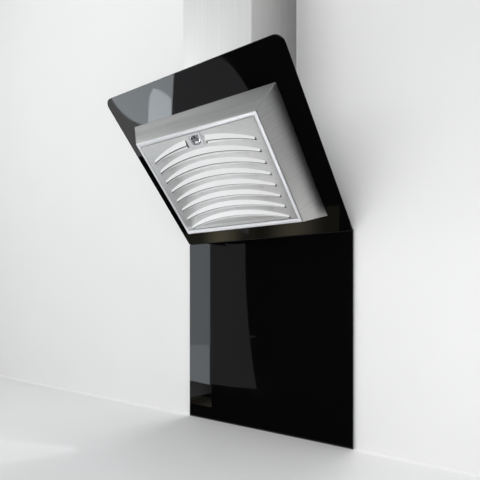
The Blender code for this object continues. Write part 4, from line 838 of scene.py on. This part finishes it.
def grown_mesh(name, tree, values):
    """The plain mesh that a Geometry Nodes tree makes from named inputs."""
    carrier = bpy.data.objects.new(name, bpy.data.meshes.new(name))
    scene.collection.objects.link(carrier)
    modifier = carrier.modifiers.new(tree.name, "NODES")
    modifier.node_group = tree
    for item in tree.interface.items_tree:
        if item.in_out == "INPUT":
            modifier[item.identifier] = values[item.name]
    evaluated = carrier.evaluated_get(bpy.context.evaluated_depsgraph_get())
    mesh = bpy.data.meshes.new_from_object(evaluated)
    bpy.data.objects.remove(carrier)
    return mesh


def mesh_finish(name):
    """Rolled aluminium in a dark grey tone."""
    material, tree, shader = new_material(name, 0.34, 1.0)
    grain = noise(tree, object_place(tree), 500.0, 3.0)
    fill_inputs(tree, shader, {
        "Base Color": mix_colours(tree, grain, (0.20, 0.20, 0.20), (0.36, 0.36, 0.35)),
        "Roughness": spread(tree, grain, 0.26, 0.44),
        "Normal": bump(tree, grain, 0.3)})
    return material


edge_nodes(["filter_frame"], zinc, edge=0.0002)
aluminium = mesh_finish("expanded_aluminium")
layer_rows = int((MESH_HIGH - MESH_LOW - 2 * ROW_PITCH) / ROW_PITCH)
layer_points = 2 * int(MESH_HALF * 2 / CELL_WIDTH) + 1
mesh_bm = bmesh.new()
for layer, (depth, shift) in enumerate(LAYERS):
    sheet = grown_mesh("mesh_layer", expanded, {
        "Length": 2 * MESH_HALF, "Points": layer_points, "Rows": layer_rows, "Pitch": ROW_PITCH,
        "Strand": STRAND, "Seed": float(layer), "Material": aluminium})
    corner = (-MESH_HALF, MESH_LOW + ROW_PITCH + shift, MESH_FRONT - depth)
    sheet.transform(glass_plane @ Matrix.Translation(corner))
    mesh_bm.from_mesh(sheet)
backing = rectangle(-MESH_HALF, MESH_HALF, MESH_LOW, MESH_HIGH)
backing_rings = [(backing, MESH_FRONT - depth) for depth in MESH_BACKING]
mesh_bm.from_mesh(to_mesh("mesh_backing", closed_body(backing_rings)))
finish_piece("filter_mesh_woven", to_mesh("filter_mesh_woven", mesh_bm, 60.0), aluminium, "filter_mesh")


# Filter plate: pressed stainless with eight arched slots, the first one broken by the catch.
# Over each slot the sheet is pressed out to a brow and under it to a rolled lip, and the ends stay open.

PLATE_HIGH = 0.4462
PLATE = (-0.2290, 0.2290, 0.1123, PLATE_HIGH)
PLATE_CORNER = 0.0025
PLATE_CORNER_STEPS = 4
PLATE_SHEET = 0.0010
PLATE_RETURN = 0.0030
ROLL = 0.0012
ROLL_STEPS = 4
SLOT_COUNT = 8
SLOT_PITCH = 0.0379
SLOT_BELOW_TOP = 0.0612  # plate's top edge to the tips of the first slot
SLOT_REACH = 0.2070
SLOT_BREAK = 0.0360      # half of what the catch takes out of the first slot
SLOT_RISE = 0.0437       # arch where the brow over a slot leaves the plate
SLOT_HOLLOW = 0.0263     # arch where the lip under it leaves the plate
SLOT_END = 0.0048        # half the height of a slot's open ends
SLOT_NOTCH = 0.0024      # by which brow and lip stop short of the ends
SLOT_SPLIT = 0.68        # share of the way down from brow to lip where the sheet is slit
SLOT_STEPS = 60
SLIT_WIDTH = 0.0036
BROW_PRESS = 0.005
BROW_FOOT = 0.16         # share of the brow that is its soft foot
BROW_ROWS = 10
LIP_PRESS = 0.0015
LIP_ROWS = 6
LIP_CREST = 0.3          # share of the lip between the slit and its crest
LIP_CURL = 0.35          # share of the lip's rise that is lost at the slit
PRESS_AT_ENDS = 0.8      # share of the pressing's depth that is left at the ends
ON_PLATE = 1e-9
LATCH_HOLE = (-0.0253, 0.0253, 0.4047, 0.4423)
plate_back = BOX_DEPTH - PLATE_SHEET
first_tip = PLATE_HIGH - SLOT_BELOW_TOP


def arch(across, rise):
    """Height of a circular arch above its ends at the slot's tips."""
    radius = (SLOT_REACH ** 2 + rise ** 2) / (2 * rise)
    return math.sqrt(radius ** 2 - across ** 2) - radius + rise


def brow_rise(share):
    """Rise of the brow from a soft foot along a straight slope, 0 to 1."""
    if share < BROW_FOOT:
        return share ** 2 / BROW_FOOT / (2 - BROW_FOOT)
    return (2 * share - BROW_FOOT) / (2 - BROW_FOOT)


def lip_rise(share):
    """Rise of the rolled lip from the slit over its crest down to the plate, 0 to 1."""
    if share < LIP_CREST:
        return 1 - LIP_CURL * (1 - share / LIP_CREST) ** 2
    return (1 + math.cos(math.pi * (share - LIP_CREST) / (1 - LIP_CREST))) / 2


def slot_section(across):
    """Height above the tips and out of the plate: the brow's points from the plate down, then the lip's."""
    high = arch(across, SLOT_RISE) + SLOT_END
    low = arch(across, SLOT_HOLLOW) - SLOT_END
    slit = high + (low - high) * SLOT_SPLIT
    press = 1 - (1 - PRESS_AT_ENDS) * (across / SLOT_REACH) ** 2
    section = []
    for row in range(BROW_ROWS + 1):
        share = row / BROW_ROWS
        up = high + (slit + SLIT_WIDTH / 2 - high) * share
        section.append((up, press * BROW_PRESS * brow_rise(share)))
    for row in range(LIP_ROWS + 1):
        share = row / LIP_ROWS
        up = low + (slit - SLIT_WIDTH / 2 - low) * (1 - share)
        section.append((up, press * LIP_PRESS * lip_rise(share)))
    return section


def add_slot(bm, rim, inside, tip, start, end):
    """Brow and lip of one slot. Returns the rings where they leave the plate's front and back faces."""
    front, back = [], []
    for step in range(SLOT_STEPS + 1):
        across = start + (end - start) * step / SLOT_STEPS
        notched = across + SLOT_NOTCH * (1 - 2 * step / SLOT_STEPS)
        places = [(notched if out > ON_PLATE else across, tip + up, out) for up, out in slot_section(across)]
        for columns, face in ((front, BOX_DEPTH), (back, plate_back)):
            columns.append([bm.verts.new(glass_plane @ Vector((x, y, face + out))) for x, y, out in places])
    joined = [row for row in range(BROW_ROWS + LIP_ROWS + 1) if row != BROW_ROWS]
    ends = ((front[0], back[0]), (front[-1], back[-1]))
    edges = [(front[step][row], front[step + 1][row], back[step + 1][row], back[step][row])
             for row in (BROW_ROWS, BROW_ROWS + 1) for step in range(SLOT_STEPS)]
    edges += [(one[row], one[row + 1], two[row + 1], two[row]) for one, two in ends for row in joined]
    holes = [(one[0], one[-1], two[-1], two[0]) for one, two in ends]
    # The brow's and lip's front faces are marked for a painted sheen. The walls of the slit and of the ends,
    # the lip's front at both ends and every back face are marked for painted shade, near black.
    bright, painted_shade_faces = [], edges + holes
    for columns in (front, back):
        for step, (one, two) in enumerate(zip(columns, columns[1:])):
            for row in joined:
                open_end = row > BROW_ROWS and step in (0, SLOT_STEPS - 1)
                side = painted_shade_faces if columns is back or open_end else bright
                side.append((one[row], two[row], two[row + 1], one[row + 1]))
    for quads, on_rim, painted_shade_value in ((bright, 1.0, 0.0), (painted_shade_faces, 0.0, 1.0)):
        for corners in quads:
            face = bm.faces.new(corners)
            face.smooth = True
            face[rim] = on_rim
            face[inside] = painted_shade_value
    return [[column[-1] for column in columns] + [column[0] for column in reversed(columns)]
            for columns in (front, back)]


def plate_edge(inset):
    return rounded_outline(PLATE, inset, PLATE_CORNER - inset, steps=PLATE_CORNER_STEPS)


plate_rings = []
for step in range(ROLL_STEPS + 1):
    turn = math.pi / 2 * step / ROLL_STEPS
    plate_rings.append((plate_edge(ROLL * (1 - math.sin(turn))), BOX_DEPTH - ROLL * (1 - math.cos(turn))))
return_end = BOX_DEPTH - PLATE_RETURN
plate_rings += [(plate_edge(0.0), return_end), (plate_edge(PLATE_SHEET), return_end),
                (plate_edge(PLATE_SHEET), plate_back)]
latch_hole = rounded_outline(LATCH_HOLE, 0.0, 0.0005, steps=2)
plate_bm = bmesh.new()
marks = [plate_bm.faces.layers.float.new(name) for name in ("rim", "inside")]
slits = [add_slot(plate_bm, *marks, first_tip, start, end)
         for start, end in ((-SLOT_REACH, -SLOT_BREAK), (SLOT_BREAK, SLOT_REACH))]
slits += [add_slot(plate_bm, *marks, first_tip - row * SLOT_PITCH, -SLOT_REACH, SLOT_REACH)
          for row in range(1, SLOT_COUNT)]
closed_body(plate_rings, [[(latch_hole, BOX_DEPTH), (latch_hole, plate_back)]], bm=plate_bm, slits=slits)
# The brows and lips are painted near white, a painted sheen, and the slits' walls and the plate's back near
# black, a painted shade.
plate_steel = brushed_finish("plate_steel", dark=(0.56, 0.56, 0.555), light=(0.70, 0.70, 0.695),
                             edge=(0.90, 0.90, 0.90), roughness=0.50,
                             turn=(math.pi / 2 + GLASS_LEAN, 0.0, math.radians(38.0)),
                             stretch=(60.0, 1300.0, 60.0), painted_sheen=(0.90, 0.90, 0.90), metallic=0.60)
finish_piece("filter_plate_pressed", to_mesh("filter_plate_pressed", plate_bm), plate_steel, "filter_plate")


# Catch: a grey moulded bezel with a sprung slide that has a finger scoop, and a leaf keeper on the rim.
# The slide's pad is dished and silver, and its foot and the bezel's window are round.

LATCH_FRONT = 0.0740
LATCH_BACK = 0.0645
BEZEL_SEAT = 0.0723
WINDOW_BACK = 0.0703
BEZEL = (-0.0280, 0.0280, 0.4020, 0.4450)
NECK = (-0.0250, 0.0250, 0.4050, 0.4420)
CAVITY = (-0.0235, 0.0235, 0.4065, 0.4405)
WINDOW = (-0.0185, 0.0185, 0.4080, 0.4390)
PAD = (-0.0179, 0.0179, 0.4143, 0.4387)
PAD_FRONT = 0.0722
WING_FRONT = 0.0700
SLIDE_BACK = 0.0660
SLIDE_CLEAR = 0.0003
WINGS = [(-0.0182, 0.4128), (0.0182, 0.4128), (0.0182, 0.4252), (0.0232, 0.4252), (0.0232, 0.4402),
         (-0.0232, 0.4402), (-0.0232, 0.4252), (-0.0182, 0.4252)]
TONGUE = rectangle(-0.010, 0.010, 0.4387, 0.4471)
TONGUE_FRONT = 0.0687
TONGUE_SLOT = rectangle(-0.0103, 0.0103, 0.43975, 0.4460)
SCOOP = (-0.0135, 0.0135, 0.4158, 0.4372)
SCOOP_MIDDLE = (0.0, 0.4235)
SCOOP_DEPTH = 0.0042
SCOOP_POWER = 2.6
SCOOP_RINGS = 10
SCOOP_START = 0.4
SCOOP_LIP = 0.0003
CATCH_CORNER_STEPS = 10


def catch_rings(rows):
    """Rings from rows of sides, inset, radii of the lower and upper corners, and depth."""
    return [(rounded_outline(sides, inset, low, high, CATCH_CORNER_STEPS), depth)
            for sides, inset, low, high, depth in rows]


def cut_from(mesh, tool):
    """The mesh without what the tool covers."""
    pieces = [bpy.data.objects.new(item.name, item) for item in (mesh, tool)]
    for piece in pieces:
        scene.collection.objects.link(piece)
    cut = pieces[0].modifiers.new("cut", "BOOLEAN")
    cut.operation = "DIFFERENCE"
    cut.solver = "EXACT"
    cut.object = pieces[1]
    evaluated = pieces[0].evaluated_get(bpy.context.evaluated_depsgraph_get())
    remainder = bpy.data.meshes.new_from_object(evaluated)
    for piece in pieces:
        bpy.data.objects.remove(piece)
    return remainder


housing_rings = catch_rings((
    (CAVITY, 0.0, 0.0005, 0.0005, SLIDE_BACK - SLIDE_CLEAR),
    (CAVITY, 0.0, 0.0005, 0.0005, WINDOW_BACK),
    (WINDOW, 0.0, 0.0120, 0.0010, WINDOW_BACK),
    (WINDOW, 0.0, 0.0120, 0.0010, LATCH_FRONT - 0.0005),
    (WINDOW, -0.0002, 0.0122, 0.0012, LATCH_FRONT - 0.0002),
    (WINDOW, -0.0006, 0.0126, 0.0016, LATCH_FRONT),
    (BEZEL, 0.0010, 0.0010, 0.0010, LATCH_FRONT),
    (BEZEL, 0.0003, 0.0016, 0.0016, LATCH_FRONT - 0.0003),
    (BEZEL, 0.0, 0.0018, 0.0018, LATCH_FRONT - 0.0009),
    (BEZEL, 0.0, 0.0018, 0.0018, BEZEL_SEAT),
    (NECK, 0.0, 0.0006, 0.0006, BEZEL_SEAT),
    (NECK, 0.0, 0.0006, 0.0006, LATCH_BACK)))
housing = to_mesh("latch_bezel", closed_body(housing_rings))
slot_rings = [(TONGUE_SLOT, TONGUE_FRONT + SLIDE_CLEAR), (TONGUE_SLOT, SLIDE_BACK - SLIDE_CLEAR)]
tongue_slot = to_mesh("tongue_slot", closed_body(slot_rings))
pale_moulding = moulded("pale_moulding", (0.56, 0.57, 0.60), 0.30, grain_scale=700.0, relief=0.08)
finish_piece("latch_bezel", cut_from(housing, tongue_slot), pale_moulding, "latch_housing")

scoop_rim = rounded_outline(SCOOP, 0.0, 0.0100, 0.0060, CATCH_CORNER_STEPS)
pad_rings = []
for ring in range(SCOOP_RINGS):
    scale = (ring + SCOOP_START) / SCOOP_RINGS
    shrunk = [tuple(middle + (part - middle) * scale for part, middle in zip(point, SCOOP_MIDDLE))
              for point in scoop_rim]
    pad_rings.append((shrunk, PAD_FRONT - SCOOP_LIP - SCOOP_DEPTH * (1 - scale ** SCOOP_POWER)))
pad_rings += catch_rings((
    (SCOOP, -0.0002, 0.0102, 0.0062, PAD_FRONT - 0.0001),
    (SCOOP, -0.0006, 0.0106, 0.0066, PAD_FRONT),
    (PAD, 0.0007, 0.0110, 0.0006, PAD_FRONT),
    (PAD, 0.0002, 0.0115, 0.0009, PAD_FRONT - 0.0002),
    (PAD, 0.0, 0.0117, 0.0010, PAD_FRONT - 0.0007),
    (PAD, 0.0, 0.0117, 0.0010, WING_FRONT - 0.0005)))
slide_bm = closed_body(pad_rings)
for loop, front in ((WINGS, WING_FRONT), (TONGUE, TONGUE_FRONT)):
    closed_body([(loop, front), (loop, SLIDE_BACK)], bm=slide_bm)
silver_moulding = moulded("silver_moulding", (0.78, 0.78, 0.80), 0.10, grain_scale=600.0, relief=0.02,
                          metallic=1.0)
finish_piece("latch_slide_dished", to_mesh("latch_slide_dished", slide_bm), silver_moulding, "latch_slide")
spring_steel = zinc_finish("spring_steel", dark=(0.34, 0.34, 0.35), light=(0.46, 0.46, 0.47),
                           edge=(0.66, 0.66, 0.66), roughness=0.34)
edge_nodes(["latch_keeper"], spring_steel, edge=0.0001)
for node in ("latch_spring_left", "latch_spring_right"):
    nodes[node].data.materials[0] = spring_steel


# Filter hinge: a folded angle behind each side of the rim, with a headed pin through it.
# The filter tilts out about the two pins.

edge_nodes(["hinge_bracket_left", "hinge_bracket_right", "hinge_pin_left", "hinge_pin_right"], zinc,
           edge=0.0002)


# Chimney: two folded stainless covers, brushed upright, held by spring clips on the wall.
# The upper cover slides inside the lower one, which is screwed to two feet on the body.

COVER_FOLD = 0.0026
COVER_SHEET = 0.0012
COVER_RETURN = 0.015
COVER_EDGE = 0.0003
FLAT_FACE = 0.99


def cover_outline(half, front, back, inset):
    """Folded cover seen from above: front, two sides and a return at the wall on each side."""
    outer = COVER_FOLD - inset
    inner = COVER_FOLD - COVER_SHEET + inset
    x, y = half - COVER_FOLD, front + COVER_FOLD
    tip = half - COVER_RETURN + inset
    wall_face, inside = back - inset, back - COVER_SHEET + inset
    outside = arc(-x, y, outer, 2) + arc(x, y, outer, 3)
    right = [(half - inset, wall_face), (tip, wall_face), (tip, inside),
             (half - COVER_SHEET + inset, inside)]
    hollow = arc(x, y, inner, 3)[::-1] + arc(-x, y, inner, 2)[::-1]
    left = [(-a, b) for a, b in reversed(right)]
    return outside + right + hollow + left


chimney_steel = brushed_finish("chimney_steel", dark=(0.76, 0.76, 0.75), light=(0.88, 0.88, 0.87),
                               edge=(0.92, 0.92, 0.91), roughness=0.40, turn=(0.0, 0.0, 0.0),
                               stretch=(1500.0, 1500.0, 4.0), metallic=0.65)
for node in ("chimney_lower", "chimney_upper"):
    (_, front, foot), (half, back, top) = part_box(node)
    whole = cover_outline(half, front, back, 0.0)
    broken = cover_outline(half, front, back, COVER_EDGE)
    cover_rings = [(broken, top), (whole, top - COVER_EDGE), (whole, foot + COVER_EDGE), (broken, foot)]
    cover = to_mesh(f"{node}_folded", closed_body(cover_rings, place=Matrix.Identity(4)))
    bend_marks = cover.attributes.new("bend", "FLOAT", "FACE")
    for face in cover.polygons:
        bend_marks.data[face.index].value = float(max(abs(part) for part in face.normal) < FLAT_FACE)
    finish_piece(f"{node}_folded", cover, chimney_steel, node)
edge_nodes(["chimney_clip_low", "chimney_clip_high", "chimney_foot_left", "chimney_foot_right"], zinc,
           edge=0.0003)
edge_nodes(["chimney_screw_left", "chimney_screw_right"], zinc, edge=0.0004)


# Back panel: a second sheet of black glass bonded flat to the wall, from the fold down.
# A rubber seal closes the fold above it.

finish_piece("back_panel_glass", rounded_copy("back_panel", ARRIS, segments=1), black_glass, "back_panel")
edge_nodes(["bonding_pad_top", "bonding_pad_foot", "fold_seal"], rubber, edge=0.0003)
